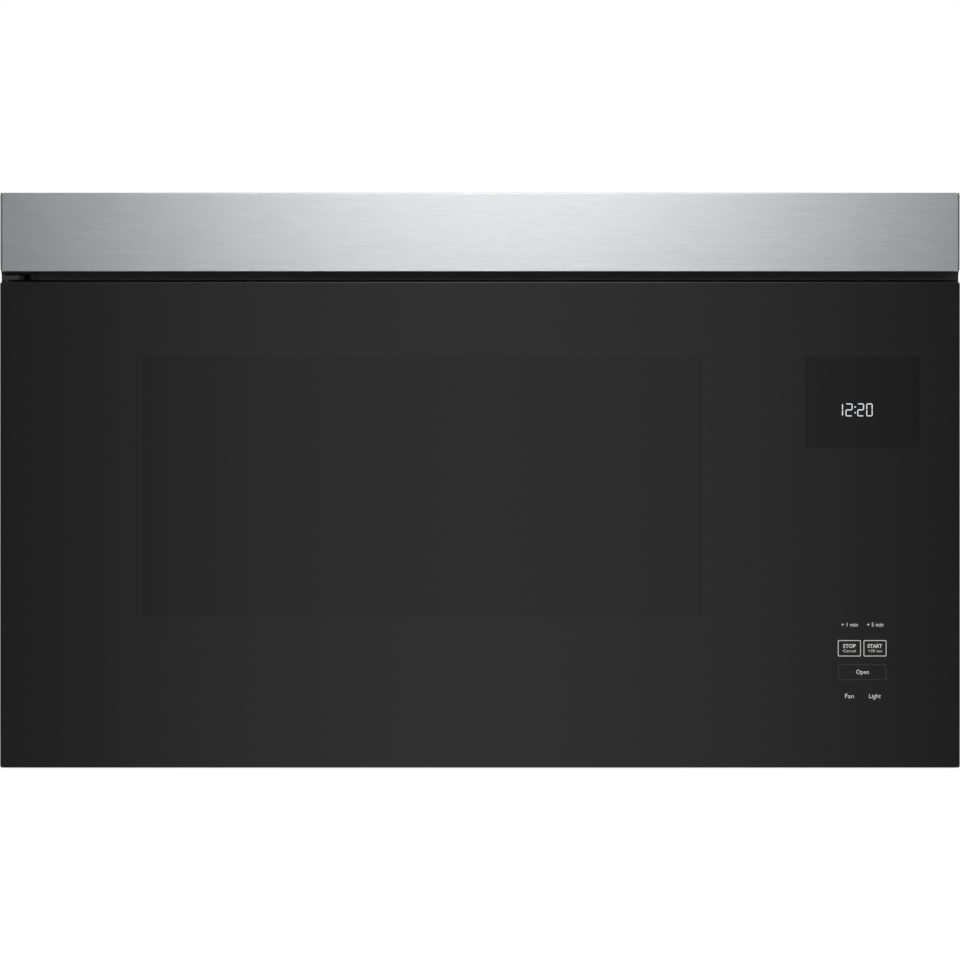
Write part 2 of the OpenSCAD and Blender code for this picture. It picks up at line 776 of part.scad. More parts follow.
// Lower hinge bracket: plate behind the front frame, arm behind the glass skirt and the pin up into the door
arm_flare = 6;
module lower_arm_space(c) {
    block([hinge_x - arm_half - c, y_face - eps, low_arm_z0 - c],
        [hinge_x + arm_half + arm_flare + c, y_in + eps, low_arm_z1 + c]);
}
module lower_hinge_bracket() {
    x0 = hinge_x - arm_half;
    x1 = hinge_x + arm_half;
    color("#5f6163") difference() {
        union() {
            translate([0, 0, low_arm_z0]) linear_extrude(height = arm_t) {
                translate([hinge_x, hinge_y]) circle(r = arm_half);
                polygon([[x0, hinge_y], [x1, hinge_y], [x1 + arm_flare, y_face - 10],
                    [x1 + arm_flare, y_in + bracket_t], [x0, y_in + bracket_t]]);
            }
            block([bracket_x, y_in, low_arm_z0],
                [bracket_x + leaf_w, y_in + bracket_t, low_arm_z0 + lower_leaf_h]);
            post(hinge_x, hinge_y, low_arm_z1 - eps, frame_z0 + pin_len, pin_r);
        }
        hinge_screw_holes();
    }
}

// Screws that clamp the two bracket leaves behind the front frame, with flat heads under the door
hinge_screw_r = 2.4;
hinge_head_r = 3.8;
hinge_head_h = 1;
upper_screw_z = arm_z1 - 19;
lower_screw_x = bracket_x + 20;
hinge_screw_at = [
    [bracket_x + 18, upper_screw_z], [bracket_x + 29.5, upper_screw_z],
    [lower_screw_x, low_arm_z1 + 18], [lower_screw_x, low_arm_z1 + 40]
];
module hinge_screw_holes() {
    for (p = hinge_screw_at)
        rod_y(p[0], p[1], y_face - eps, y_in + bracket_t + eps, hinge_screw_r + fit);
}
module hinge_screws() {
    color("#8a8c8e") for (p = hinge_screw_at) {
        rod_y(p[0], p[1], y_face - hinge_head_h, y_face, hinge_head_r);
        rod_y(p[0], p[1], y_face - hinge_head_h / 2, y_in + bracket_t + eps, hinge_screw_r);
    }
}

// Flanged plastic bushes in the door frame, one at each pin
bush_flange_r = 5.2;
module hinge_bushes() {
    z_low = low_arm_z1 + 0.3;
    color("#d8d6cf") {
        difference() {
            union() {
                post(hinge_x, hinge_y, z_low, frame_z0, bush_flange_r);
                post(hinge_x, hinge_y, z_low, frame_z0 + pin_len - 2, bush_r);
            }
            post(hinge_x, hinge_y, 0, frame_z0 + pin_len + eps, pin_r + pin_fit);
        }
        difference() {
            union() {
                post(hinge_x, hinge_y, frame_z1, frame_z1 + 1.2, bush_flange_r);
                post(hinge_x, hinge_y, frame_z1 - pin_len + 4, frame_z1 + 1.2, bush_r);
            }
            post(hinge_x, hinge_y, frame_z1 - pin_len, frame_z1 + 2, pin_r + pin_fit);
        }
    }
}

// Full-width black door glass
module door_glass() {
    color("#2b2c2d") along_y(y_front, y_glass)
        round_rect(-unit_w / 2, unit_w / 2, door_z0, door_z1, corner_r);
}

// Moulded tray behind the glass, with hinge bosses, latch guides and hook slots
boss_w = 16;
module door_frame() {
    color("#1d1e1f") difference() {
        union() {
            difference() {
                block([-frame_x, y_glass, frame_z0], [frame_x, y_door_rear, frame_z1]);
                block([-frame_x + frame_wall, y_glass - eps, frame_z0 + frame_wall],
                    [frame_x - frame_wall, y_door_rear - frame_wall, frame_z1 - frame_wall]);
            }
            for (z = [frame_z0, frame_z1 - pin_len - 2])
                block([-frame_x, y_glass, z], [-frame_x + boss_w, y_glass + boss_w, z + pin_len + 2]);
            post(latch_x, spring_y, frame_z1 - frame_wall - spigot_l, frame_z1 - frame_wall / 2, spigot_r);
            for (z = [hook_low_z + hook_span * 0.24, hook_high_z - hook_span * 0.24])
                for (s = [-1, 1])
                    translate([latch_x + s * (latch_t / 2 + 2.3), y_bar1 - 8, z - 7])
                        translate([-2, 0, 0]) cube([4, y_door_rear - frame_wall - y_bar1 + 8.5, 14]);
        }
        block([choke_x0 - fit, y_door_rear - frame_wall - eps, choke_z0 - fit],
            [choke_x1 + fit, y_door_rear + eps, choke_z1 + fit]);
        post(hinge_x, hinge_y, frame_z0 - eps, frame_z0 + pin_len + 1, bush_r + fit / 2);
        post(hinge_x, hinge_y, frame_z1 - pin_len - 1, frame_z1 + eps, bush_r + fit / 2);
        for (z = hooks)
            block([latch_x - latch_t / 2 - 1, y_door_rear - frame_wall - eps, z - latch_travel - 1],
                [latch_x + latch_t / 2 + 1, y_door_rear + eps, z + hook_h + 1]);
    }
}

// Ring between two insets of the choke's outline, from y0 to y1
module choke_ring(in0, in1, y0, y1) {
    difference() {
        block([choke_x0 + in0, y0, choke_z0 + in0], [choke_x1 - in0, y1, choke_z1 - in0]);
        block([choke_x0 + in1, y0 - eps, choke_z0 + in1], [choke_x1 - in1, y1 + eps, choke_z1 - in1]);
    }
}

// Steel choke frame: outer groove, slotted lip and the recessed plate round the window
tooth_gap = 3;
tooth_h = 8;
module choke_frame() {
    y_tooth = y_choke_rear - tooth_h - 4;
    choke_zc = (choke_z0 + choke_z1) / 2;
    groove_in = choke_t + choke_groove;
    lip_in = groove_in + choke_t;
    w = choke_x1 - choke_x0 - 2 * lip_in;
    h = choke_z1 - choke_z0 - 2 * lip_in;
    nx = floor(w / choke_pitch);
    nz = floor(h / choke_pitch);
    color("#8e9093") difference() {
        union() {
            choke_ring(0, choke_t, y_choke_front, y_choke_rear);
            choke_ring(0, lip_in, y_choke_front, y_choke_front + choke_t);
            choke_ring(groove_in, lip_in, y_choke_front, y_choke_rear);
            choke_ring(groove_in, pane_in, y_choke_rear - choke_t, y_choke_rear);
            choke_ring(pane_in - choke_t, pane_in, y_screen, y_choke_rear);
            difference() {
                block([choke_x0 + pane_in - choke_t, y_screen, choke_z0 + pane_in - choke_t],
                    [choke_x1 - pane_in + choke_t, y_screen + choke_t, choke_z1 - pane_in + choke_t]);
                block([window_x0, y_screen - eps, window_z],
                    [window_x1, y_screen + choke_t + eps, window_z1]);
            }
        }
        for (i = [0:nx - 1])
            for (z = [choke_z0 + groove_in - eps, choke_z1 - groove_in - choke_t - eps])
                translate([cav_xc + (i - (nx - 1) / 2) * choke_pitch - tooth_gap / 2, y_tooth, z])
                    cube([tooth_gap, tooth_h, choke_t + 2 * eps]);
        for (i = [0:nz - 1])
            for (x = [choke_x0 + groove_in - eps, choke_x1 - groove_in - choke_t - eps])
                translate([x, y_tooth, choke_zc + (i - (nz - 1) / 2) * choke_pitch - tooth_gap / 2])
                    cube([choke_t + 2 * eps, tooth_h, tooth_gap]);
    }
}

// Plastic cover snapped over the choke groove
module choke_cover() {
    color("#242526") difference() {
        choke_ring(0.3, pane_in - 1, y_choke_rear, y_door_rear);
        choke_ring(choke_t + choke_groove + 6, pane_in, y_door_rear - 0.8, y_door_rear + eps);
    }
}

// Perforated sheet in front of the window plate
screen_side = 8;
screen_over = 6;
module window_screen() {
    color("#1a1b1c") block([window_x0 - screen_side, y_screen - screen_t, window_z - screen_over],
        [window_x1 + screen_side, y_screen, window_z1 + screen_over]);
}

// Clear glass on the cavity side of the window plate
module inner_glass() {
    y0 = y_screen + choke_t;
    color("#8a8f92") block([window_x0 - screen_side, y0, window_z - screen_over],
        [window_x1 + screen_side, y0 + inner_glass_t, window_z1 + screen_over]);
}

// Display behind its field in the glass: light guide block, circuit board and connector
module display_module() {
    x1 = unit_w / 2 - display_right;
    x0 = x1 - display_w;
    display_z = door_z1 - display_top - display_h;
    color("#20302a") {
        block([x0 + 6, y_glass, display_z + 8], [x1 - 6, y_glass + 7, display_z + display_h - 8]);
        block([x0, y_glass + 7, display_z], [x1, y_glass + 8.6, display_z + display_h]);
        block([x0 + 10, y_glass + 8.6, display_z + 10], [x0 + 34, y_glass + 15, display_z + 18]);
    }
}

// Printed touch keys' board, bonded to the glass
key_x1 = unit_w / 2 - 50.4;
key_x0 = key_x1 - 54;
key_z0 = 50;
key_z1 = 122;
module touch_board() {
    color("#24403a") {
        block([key_x0, y_glass, key_z0], [key_x1, y_glass + 1.6, key_z1]);
        block([key_x0 + 12, y_glass + 1.6, key_z1 - 14], [key_x0 + 34, y_glass + 7, key_z1 - 6]);
        block([key_x0 + 10, y_glass + 1.6, key_z0 + 20], [key_x0 + 20, y_glass + 3.4, key_z0 + 30]);
    }
}

// Latch bar in the door with its two hooks
bar_foot = 12;
bar_z1 = hook_high_z + 14;
spigot_r = 3;
spring_y = (y_bar0 + y_bar1) / 2;
module latch_lever() {
    color("#d5d3cc") difference() {
        union() {
            block([latch_x - latch_t / 2, y_bar0, hook_low_z - bar_foot],
                [latch_x + latch_t / 2, y_bar1, bar_z1]);
            for (z = hooks) {
                block([latch_x - latch_t / 2, y_bar1 - eps, z],
                    [latch_x + latch_t / 2, y_nose + nose_t, z + hook_h]);
                along_x(latch_x - latch_t / 2, latch_x + latch_t / 2)
                    polygon([[y_nose, z + eps], [y_nose, z - nose_h], [y_nose + nose_t / 2, z - nose_h],
                        [y_nose + nose_t, z + hook_h / 2], [y_nose + nose_t, z + hook_h],
                        [y_nose, z + hook_h]]);
            }
            post(latch_x, spring_y, bar_z1 - 2, bar_z1, spring_r + 1.2);
            post(latch_x, spring_y, bar_z1 - eps, bar_z1 + 8, spigot_r - 0.8);
        }
        for (z = [hook_low_z + hook_span * 0.36, hook_high_z - hook_span * 0.36])
            rod_x((y_bar0 + y_bar1) / 2, z, latch_x - latch_t, latch_x + latch_t, 5);
        block([latch_x - latch_t, y_bar0 - eps, hook_low_z + hook_span * 0.44],
            [latch_x + latch_t, y_bar0 + 8, hook_high_z - hook_span * 0.44]);
    }
}

// Spring that presses the latch bar down: half turns of wire, tilted one way and the other so that they
// meet end to end in a small knuckle, with a flat half turn at each end
spigot_l = 28;
spring_z0 = bar_z1 + seat + spring_wire;
spring_z1 = frame_z1 - frame_wall - seat - spring_wire;
spring_pitch = (spring_z1 - spring_z0) / spring_n;
spring_knuckle = spring_wire + 0.04;
module half_turn(z, tilt, start) {
    r = spring_r / cos(tilt);
    translate([latch_x, spring_y, z]) rotate([0, tilt, 0]) rotate([0, 0, start]) {
        rotate_extrude(angle = 180, $fn = 48) translate([r, 0]) circle(r = spring_wire);
        translate([-r, 0, 0]) sphere(r = spring_knuckle, $fn = 24);
    }
}
module latch_spring() {
    tilt = atan(spring_pitch / 4 / spring_r);
    color("#b9bcbf") {
        half_turn(spring_z0, 0, 180);
        for (i = [0:2 * spring_n - 1])
            half_turn(spring_z0 + (i + 0.5) * spring_pitch / 2, i % 2 == 0 ? tilt : -tilt,
                i % 2 == 0 ? 0 : 180);
        half_turn(spring_z1, 0, 0);
    }
}

// Block behind the front frame whose slots the hooks catch, with guide eyes for the lifter rod
eye_z = [hook_low_z + hook_span / 3, hook_high_z - hook_span / 3];
module latch_board() {
    x0 = latch_x - 14;
    x1 = latch_x + 12;
    color("#e2e0d8") difference() {
        union() {
            block([x0, y_in, hook_low_z - 26], [x1, y_nose - 0.5, hook_high_z + 26]);
            for (z = eye_z)
                block([latch_x - 8, y_nose - eps, z - 6], [latch_x + 8, lifter_y + rod_r + 3, z + 6]);
        }
        for (z = hooks) hook_slot(z, y_in - eps, y_nose);
        for (z = eye_z) post(latch_x, lifter_y, z - 7, z + 7, rod_r + fit);
    }
}

// Three micro-switches beside the latch board
module interlock_switches() {
    x1 = latch_x - 14 - seat;
    color("#1c1c1e") for (z = [hook_low_z + 4, hook_low_z + 24, hook_high_z + 4]) {
        block([x1 - 10, y_in + 3, z - 8], [x1, y_in + 31, z + 8]);
        for (k = [0:2]) block([x1 - 6, y_in + 31, z - 6 + k * 5], [x1 - 5.2, y_in + 37, z - 3 + k * 5]);
    }
}

// Solenoid that draws the lifter: coil, iron frame and the bore for the rod
coil_h = 30;
module release_solenoid() {
    z0 = bay_floor;
    color("#4b4d50") difference() {
        union() {
            block([latch_x - 13, lifter_y - 12, z0], [latch_x + 13, lifter_y + 12, z0 + 2.5]);
            block([latch_x - 13, lifter_y - 12, z0 + coil_h], [latch_x + 13, lifter_y + 12, z0 + coil_h + 2.5]);
            block([latch_x - 13, lifter_y - 12, z0], [latch_x - 10.5, lifter_y + 12, z0 + coil_h + 2.5]);
            post(latch_x, lifter_y, z0 + 1, z0 + coil_h + 1, 10);
        }
        post(latch_x, lifter_y, z0 + 3, z0 + coil_h + 4, rod_r + fit);
    }
}

// Lifter rod, plunger at its foot, with one finger under each hook
module release_lifter() {
    color("#c4c6c8") {
        post(latch_x, lifter_y, bay_floor + latch_travel + 5, hook_high_z + 2, rod_r);
        for (z = hooks)
            block([latch_x - 1.6, y_nose + 0.4, z - nose_h - finger_gap - finger_h],
                [latch_x + 1.6, lifter_y, z - nose_h - finger_gap]);
    }
}

// Ceramic floor plate over the stirrer well
module ceramic_floor() {
    color("#e4e1d8") block([cav_xc - plate_w / 2, cav_yc - plate_d / 2, plate_z0],
        [cav_xc + plate_w / 2, cav_yc + plate_d / 2, cav_z]);
}

// Rotating antenna with three windows, on the shaft that comes up through the waveguide
antenna_z = plate_z0 - 9;
antenna_t = 1.2;
module stirrer_antenna() {
    color("#c2c4c6") {
        difference() {
            post(cav_xc, cav_yc, antenna_z, antenna_z + antenna_t, antenna_r);
            for (a = [0, 130, 230])
                translate([cav_xc, cav_yc, antenna_z - eps]) rotate([0, 0, a])
                    linear_extrude(height = antenna_t + 2 * eps)
                        polygon([[16, -6], [antenna_r - 10, -20], [antenna_r - 10, 20], [16, 6]]);
        }
        post(cav_xc, cav_yc, antenna_z - 6, antenna_z + eps / 2, 8);
        post(cav_xc, cav_yc, guide_z0 - 12, antenna_z, stirrer_r);
    }
}
module stirrer_motor() {
    color("#b9bbbd") difference() {
        union() {
            post(cav_xc, cav_yc, guide_z0 - 20, guide_z0, 25);
            block([cav_xc - 34, cav_yc - 7, guide_z0 - 1.5], [cav_xc + 34, cav_yc + 7, guide_z0]);
        }
        post(cav_xc, cav_yc, guide_z0 - 13, guide_z0 + eps, stirrer_r + fit);
    }
}

// Rectangular waveguide from the magnetron to the stirrer
module waveguide() {
    color("#b0b2b4") difference() {
        block([guide_x0, cav_yc - guide_w / 2, guide_z0], [guide_x1, cav_yc + guide_w / 2, bay_z0]);
        block([guide_x0 + 1, cav_yc - guide_w / 2 + 1, guide_z0 + 1],
            [guide_x1 - 1, cav_yc + guide_w / 2 - 1, bay_z0 - 1]);
        post(cav_xc, cav_yc, bay_z0 - 2, bay_z0 + eps, coupling_r);
        post(mag_x, mag_y, bay_z0 - 2, bay_z0 + eps, coupling_r);
        post(cav_xc, cav_yc, guide_z0 - eps, guide_z0 + 2, stirrer_r + 0.5);
    }
}

// Magnetron: base plate, yoke, cooling fins, filter box and the antenna that reaches into the waveguide
fin_n = 9;
fin_pitch = 5.5;
fin_t = 0.8;
fin_d = 64;
yoke_t = 2;
yoke_h = 70;
module magnetron() {
    x0 = mag_x - magnetron_w / 2;
    x1 = mag_x + magnetron_w / 2;
    y0 = mag_y - magnetron_d / 2;
    y1 = mag_y + magnetron_d / 2;
    z0 = bay_floor;
    z1 = z0 + yoke_h;
    color("#a0a3a6") {
        difference() {
            block([x0, y0, z0], [x1, y1, z1]);
            block([x0 + yoke_t, y0 - eps, z0 + yoke_t], [x1 - yoke_t, y1 + eps, z1 - yoke_t]);
        }
        post(mag_x, mag_y, z0 + 1, z1 - 1, 20);
        for (i = [0:fin_n - 1])
            block([x0 + 1, mag_y - fin_d / 2, z0 + 12 + i * fin_pitch],
                [x1 - 1, mag_y + fin_d / 2, z0 + 12 + fin_t + i * fin_pitch]);
        block([mag_x - 30, mag_y - 26, z1 - 0.5], [mag_x + 30, mag_y + 26, z1 + 34]);
        post(mag_x, mag_y, z0 - 18, z0 + 1, 9);
    }
}

// Transformer in front of the magnetron: laminated core with two windings
core_w = 96;
core_d = 62;
core_h = 78;
core_x = liner_x1 + 4 + core_w / 2;
core_y = y_in + 16 + core_d / 2;
core_leg = 16;
coil_over = 10;
module transformer_core() {
    color("#5a5d60") difference() {
        block([core_x - core_w / 2, core_y - core_d / 2 + coil_over, bay_floor],
            [core_x + core_w / 2, core_y + core_d / 2 - coil_over, bay_floor + core_h]);
        for (s = [-1, 1])
            translate([core_x + s * core_leg * 1.5, core_y, bay_floor + core_h / 2])
                cube([core_leg, core_d, core_h - 2 * core_leg], center = true);
    }
}
module transformer_windings() {
    gap = 0.3;
    color("#b06a3a") difference() {
        block([core_x - 2 * core_leg + gap, core_y - core_d / 2, bay_floor + core_leg + gap],
            [core_x + 2 * core_leg - gap, core_y + core_d / 2, bay_floor + core_h - core_leg - gap]);
        block([core_x - core_leg - gap, core_y - core_d / 2 + coil_over - gap, bay_floor],
            [core_x + core_leg + gap, core_y + core_d / 2 - coil_over + gap, bay_floor + core_h]);
    }
}

// Oval capacitor can held by a strap
cap_x = mag_x + magnetron_w / 2 + 32;
cap_y = mag_y - 20;
cap_h = 90;
module cap_outline(grow) {
    for (s = [-1, 1]) translate([cap_x, cap_y + s * 10]) circle(r = 16 + grow);
    translate([cap_x - 16 - grow, cap_y - 10]) square([32 + 2 * grow, 20]);
}
module capacitor() {
    color("#c6c8c9") {
        translate([0, 0, bay_floor]) linear_extrude(height = cap_h) cap_outline(0);
        for (s = [-1, 1])
            translate([cap_x, cap_y + s * 12, bay_floor + cap_h + 4]) cube([8, 1, 10], center = true);
    }
}
module capacitor_clamp() {
    color("#8d8f91") {
        translate([0, 0, bay_floor + 30]) linear_extrude(height = 14) difference() {
            cap_outline(1.2);
            cap_outline(fit);
        }
        block([cap_x - 7, cap_y - 48, bay_floor], [cap_x + 7, cap_y - 27, bay_floor + 1.2]);
        block([cap_x - 7, cap_y - 28.2, bay_floor], [cap_x + 7, cap_y - 27.1, bay_floor + 44]);
    }
}
module diode() {
    color("#222325") {
        rod_x(cap_y - 40, bay_floor + 7, cap_x - 9, cap_x + 9, 3.4);
        block([cap_x - 12, cap_y - 41, bay_floor], [cap_x - 9, cap_y - 39, bay_floor + 9]);
        block([cap_x + 9, cap_y - 41, bay_floor], [cap_x + 12, cap_y - 39, bay_floor + 9]);
    }
}

// Cooling fan behind the magnetron: square shroud with a ring, blades, motor and the guide to the yoke
module fan_arms() {
    for (a = [45, 135, 225, 315])
        translate([mag_x, fan_y + fan_depth - 3, fan_z]) rotate([0, a, 0])
            translate([0, 0, -3]) cube([fan_r + 2, 3, 6]);
}
module fan_shroud() {
    color("#2c2d2f") difference() {
        union() {
            block([mag_x - fan_house, fan_y, bay_floor], [mag_x + fan_house, fan_y + 3, fan_z + fan_house]);
            rod_y(mag_x, fan_z, fan_y, fan_y + fan_depth, fan_r + 4);
            fan_arms();
        }
        difference() {
            rod_y(mag_x, fan_z, fan_y - eps, fan_y + fan_depth + eps, fan_r + 1.5);
            fan_arms();
            rod_y(mag_x, fan_z, fan_y + fan_depth - 3, fan_y + fan_depth, 18);
        }
        rod_y(mag_x, fan_z, fan_y - eps, fan_y + fan_depth + eps, fan_shaft_r + 1);
    }
}
module cooling_fan() {
    color("#3a3c3f") difference() {
        union() {
            rod_y(mag_x, fan_z, fan_y + 3, fan_y + fan_depth - 5, 12);
            rod_y(mag_x, fan_z, fan_y + 4, fan_y + fan_depth + 14, fan_shaft_r);
            for (i = [0:fan_n - 1])
                translate([mag_x, fan_y + 11, fan_z]) rotate([0, i * 360 / fan_n, 0]) rotate([32, 0, 0])
                    linear_extrude(height = 1.6, center = true)
                        polygon([[8, -4], [fan_r - 3, -9], [fan_r, -5], [fan_r, 6], [fan_r - 3, 9], [8, 5]]);
        }
    }
}
module fan_motor() {
    y0 = fan_y + fan_depth + seat;
    color("#7b5a3c") difference() {
        union() {
            block([mag_x - 24, y0, fan_z - 16], [mag_x + 24, y0 + 14, fan_z + 26]);
            rod_y(mag_x, fan_z, y0, y0 + 20, 13);
        }
        rod_y(mag_x, fan_z, y0 - eps, y0 + 16, fan_shaft_r + fit);
        block([mag_x - 12, y0 - eps, fan_z + 15], [mag_x + 12, y0 + 14 + eps, fan_z + 20]);
    }
}
module air_guide() {
    y0 = mag_y + magnetron_d / 2 + seat;
    color("#dcdad2") difference() {
        block([mag_x - 40, y0, bay_floor + 2], [mag_x + 40, fan_y - seat, bay_floor + 68]);
        block([mag_x - 38, y0 - eps, bay_floor + 4], [mag_x + 38, fan_y, bay_floor + 66]);
    }
}

// Power board on four pillars beside the cavity wall, with relays, a filter coil and connectors
board_stand = 9;
board_t = 1.6;
board_h = 110;
board_x = liner_x1 + board_stand;
board_y0 = y_in + 20;
board_y1 = cutout_y - cutout_r - 20;
board_d = board_y1 - board_y0;
board_z0 = bay_floor + core_h + 34;
board_z1 = board_z0 + board_h;
relay_n = 4;
relay_w = 18;
relay_pitch = board_d * 0.175;
plug_n = 3;
plug_w = 18;
plug_pitch = board_d * 0.155;
module board_part(y, z, w, h, high) {
    block([board_x + board_t / 2, y, z], [board_x + board_t + high, y + w, z + h]);
}
module power_board() {
    color("#2f5b3f") {
        block([board_x, board_y0, board_z0], [board_x + board_t, board_y1, board_z1]);
        for (y = [board_y0 + 6, board_y1 - 6])
            for (z = [board_z0 + 6, board_z1 - 6])
                rod_x(y, z, liner_x1, board_x + board_t / 2, 3);
        for (i = [0:relay_n - 1])
            board_part(board_y0 + 12 + i * relay_pitch, board_z0 + 14, relay_w, 28, 15.4);
        board_part(board_y0 + 12, board_z0 + 62, 40, 34, 28.4);
        for (i = [0:plug_n - 1])
            board_part(board_y1 - 10 - plug_w - i * plug_pitch, board_z1 - 16, plug_w, 12, 9.4);
        rod_x(board_y1 - 30, board_z0 + 66, board_x + board_t / 2, board_x + 26, 9);
    }
}

// Cavity lamp: socket box on the cavity wall behind its field of holes
lamp_y = cav_y1 - 30;
lamp_z = cav_z + 130;
module cavity_lamp() {
    color("#dfddd6") {
        difference() {
            block([liner_x1, lamp_y - 20, lamp_z - 20], [liner_x1 + 26, lamp_y + 20, lamp_z + 20]);
            block([liner_x1 - eps, lamp_y - 18, lamp_z - 18], [liner_x1 + 24, lamp_y + 18, lamp_z + 18]);
        }
        rod_x(lamp_y, lamp_z, liner_x1 + 6, liner_x1 + 25, 9);
    }
}

// Thermal cut-outs: one on the cavity wall, one on the cavity top
cutout_top_x = cav_x1 - 100;
module thermal_cutouts() {
    color("#c9b68c") {
        rod_x(cutout_y, lamp_z - 10, liner_x1, liner_x1 + cutout_h, cutout_r);
        post(cutout_top_x, cav_yc, liner_top, liner_top + cutout_h, cutout_r);
    }
}

// Grease filter: folded frame with a lattice core and a finger recess
mesh_nx = 8;
mesh_ny = 13;
module grease_filter(x) {
    rim = 9;
    fold = 2;
    x0 = x - filter_w / 2 + rim;
    x1 = x + filter_w / 2 - rim;
    y0 = filter_y - filter_d / 2 + rim;
    y1 = filter_y + filter_d / 2 - rim;
    px = (x1 - x0) / mesh_nx;
    py = (y1 - y0) / mesh_ny;
    color("#b7b9bb") difference() {
        filter_box(x, 0, filter_z0, filter_z0 + filter_t);
        block([x0, y0, filter_z0 - eps], [x1, y1, filter_z0 + fold]);
        block([x0, y0, filter_z0 + filter_t - fold], [x1, y1, filter_z0 + filter_t + eps]);
        for (i = [0:mesh_nx - 1])
            for (j = [0:mesh_ny - 1])
                translate([x0 + (i + 0.5) * px, y0 + (j + 0.5) * py, filter_z0 - eps])
                    linear_extrude(height = filter_t + 2 * eps)
                        polygon([[-px / 2 + 1, 0], [0, -py / 2 + 1], [px / 2 - 1, 0], [0, py / 2 - 1]]);
    }
}
module grease_filter_left() {
    grease_filter(-filter_x);
}
module grease_filter_right() {
    grease_filter(filter_x);
}

// Lenses of the two cooktop lamps and the lamp boards on them
module lamp_lenses() {
    color("#f3f3ee") for (x = [-lens_x, lens_x])
        difference() {
            union() {
                lens_box(x, 0, 0.2, lens_h);
                lens_box(x, 3, sheet_t, sheet_t + 1.5);
            }
            lens_box(x, -1.5, 1.8, lens_h + eps);
        }
}
module lamp_boards() {
    color("#e9e9e4") for (x = [-lens_x, lens_x]) {
        lens_box(x, 0, lens_h, lens_h + 1.6);
        for (k = [-1, 0, 1])
            translate([x + k * 24, lens_y, lens_h - 0.5]) cube([5, 5, 2], center = true);
    }
}

// Bushing at the hole in the top where the supply cord would pass
module cord_bushing() {
    color("#1b1b1c") difference() {
        union() {
            post(cord_x, cord_y, z_in - 8, case_top, cord_r);
            post(cord_x, cord_y, case_top, unit_h, cord_r + 2.5);
            post(cord_x, cord_y, z_in - 3, z_in, cord_r + 1.6);
        }
        post(cord_x, cord_y, z_in - 9, unit_h + eps, cord_r - 4);
    }
}

// Threaded plates under the top for the bolts from the cabinet above
module cabinet_nuts() {
    color("#b5b7b9") for (x = bolt_x)
        difference() {
            union() {
                block([x - 18, bolt_y - 14, z_in - 2.5], [x + 18, bolt_y + 14, z_in]);
                translate([x, bolt_y, z_in - 8]) cylinder(r = 7, h = 6, $fn = 6);
            }
            post(x, bolt_y, z_in - 9, z_in + eps, bolt_r);
        }
}

// Flush screws that hold the wrap on the frame and on the back plate
module case_screws() {
    color("#7d7f81") case_screw_places() flush_screw();
}

case_wrap();
back_plate();
base_plate();
front_frame();
cavity_liner();
bay_partition();
steel_strip();
strip_carrier();
charcoal_filter();
outlet_duct();
blower_base();
left_blower_housing();
right_blower_housing();
blower_motor();
left_blower_wheel();
right_blower_wheel();
blower_shaft();
upper_hinge_bracket();
lower_hinge_bracket();
hinge_bushes();
door_glass();
door_frame();
choke_frame();
choke_cover();
window_screen();
inner_glass();
display_module();
touch_board();
latch_lever();
latch_spring();
latch_board();
interlock_switches();
release_solenoid();
release_lifter();
ceramic_floor();
stirrer_antenna();
stirrer_motor();
waveguide();
magnetron();
transformer_core();
transformer_windings();
capacitor();
capacitor_clamp();
diode();
fan_shroud();
cooling_fan();
fan_motor();
air_guide();
power_board();
cavity_lamp();
thermal_cutouts();
grease_filter_left();
grease_filter_right();
lamp_lenses();
lamp_boards();
cord_bushing();
cabinet_nuts();
case_screws();
hinge_screws();
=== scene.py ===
# %% [markdown]
# # A built-in microwave with its own vent
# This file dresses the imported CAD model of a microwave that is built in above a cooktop: a full-width black
# glass door under a brushed steel strip. The CAD solids are right in shape, so most of them only get a better
# finish. The pieces that the eye goes to first, the glass, the steel strip and the printed keys, are made again
# here with eased edges. Every length is in metres, in the same frame as the CAD: x to the right, y into the
# wall, z up.

# %% Open the frame
import math
import bpy
import numpy as np
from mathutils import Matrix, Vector


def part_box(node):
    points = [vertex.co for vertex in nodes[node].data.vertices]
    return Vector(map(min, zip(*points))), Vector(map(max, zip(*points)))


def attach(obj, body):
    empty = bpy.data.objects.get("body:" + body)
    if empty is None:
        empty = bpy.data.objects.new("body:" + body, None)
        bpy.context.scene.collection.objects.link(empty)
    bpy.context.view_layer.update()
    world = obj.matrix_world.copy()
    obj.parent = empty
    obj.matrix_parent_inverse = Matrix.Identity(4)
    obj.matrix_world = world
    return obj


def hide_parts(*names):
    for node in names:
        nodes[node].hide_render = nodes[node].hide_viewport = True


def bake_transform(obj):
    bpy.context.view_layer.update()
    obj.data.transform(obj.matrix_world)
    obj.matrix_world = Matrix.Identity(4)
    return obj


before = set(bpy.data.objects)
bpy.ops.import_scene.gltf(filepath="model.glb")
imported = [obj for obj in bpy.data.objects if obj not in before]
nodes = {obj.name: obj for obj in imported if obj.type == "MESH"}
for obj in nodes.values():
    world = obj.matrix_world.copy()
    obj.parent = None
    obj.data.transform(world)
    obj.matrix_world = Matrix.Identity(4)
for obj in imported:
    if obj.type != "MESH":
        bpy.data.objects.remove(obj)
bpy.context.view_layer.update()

# %% [markdown]
# ## Small helpers
# Colours are picked as on a screen (sRGB) and Blender reckons in linear light, so one function turns the one
# into the other. One function adds a shader node, sets it up and links it, and a few short ones build on it: for
# a sum, a straight ramp, a mix of two colours and the place on the piece. One function turns arrays into a mesh
# object that rides on a CAD body, and turns the mesh the right way out by the sign of its volume.

# %% Colour, node and mesh helpers
finishes = {}


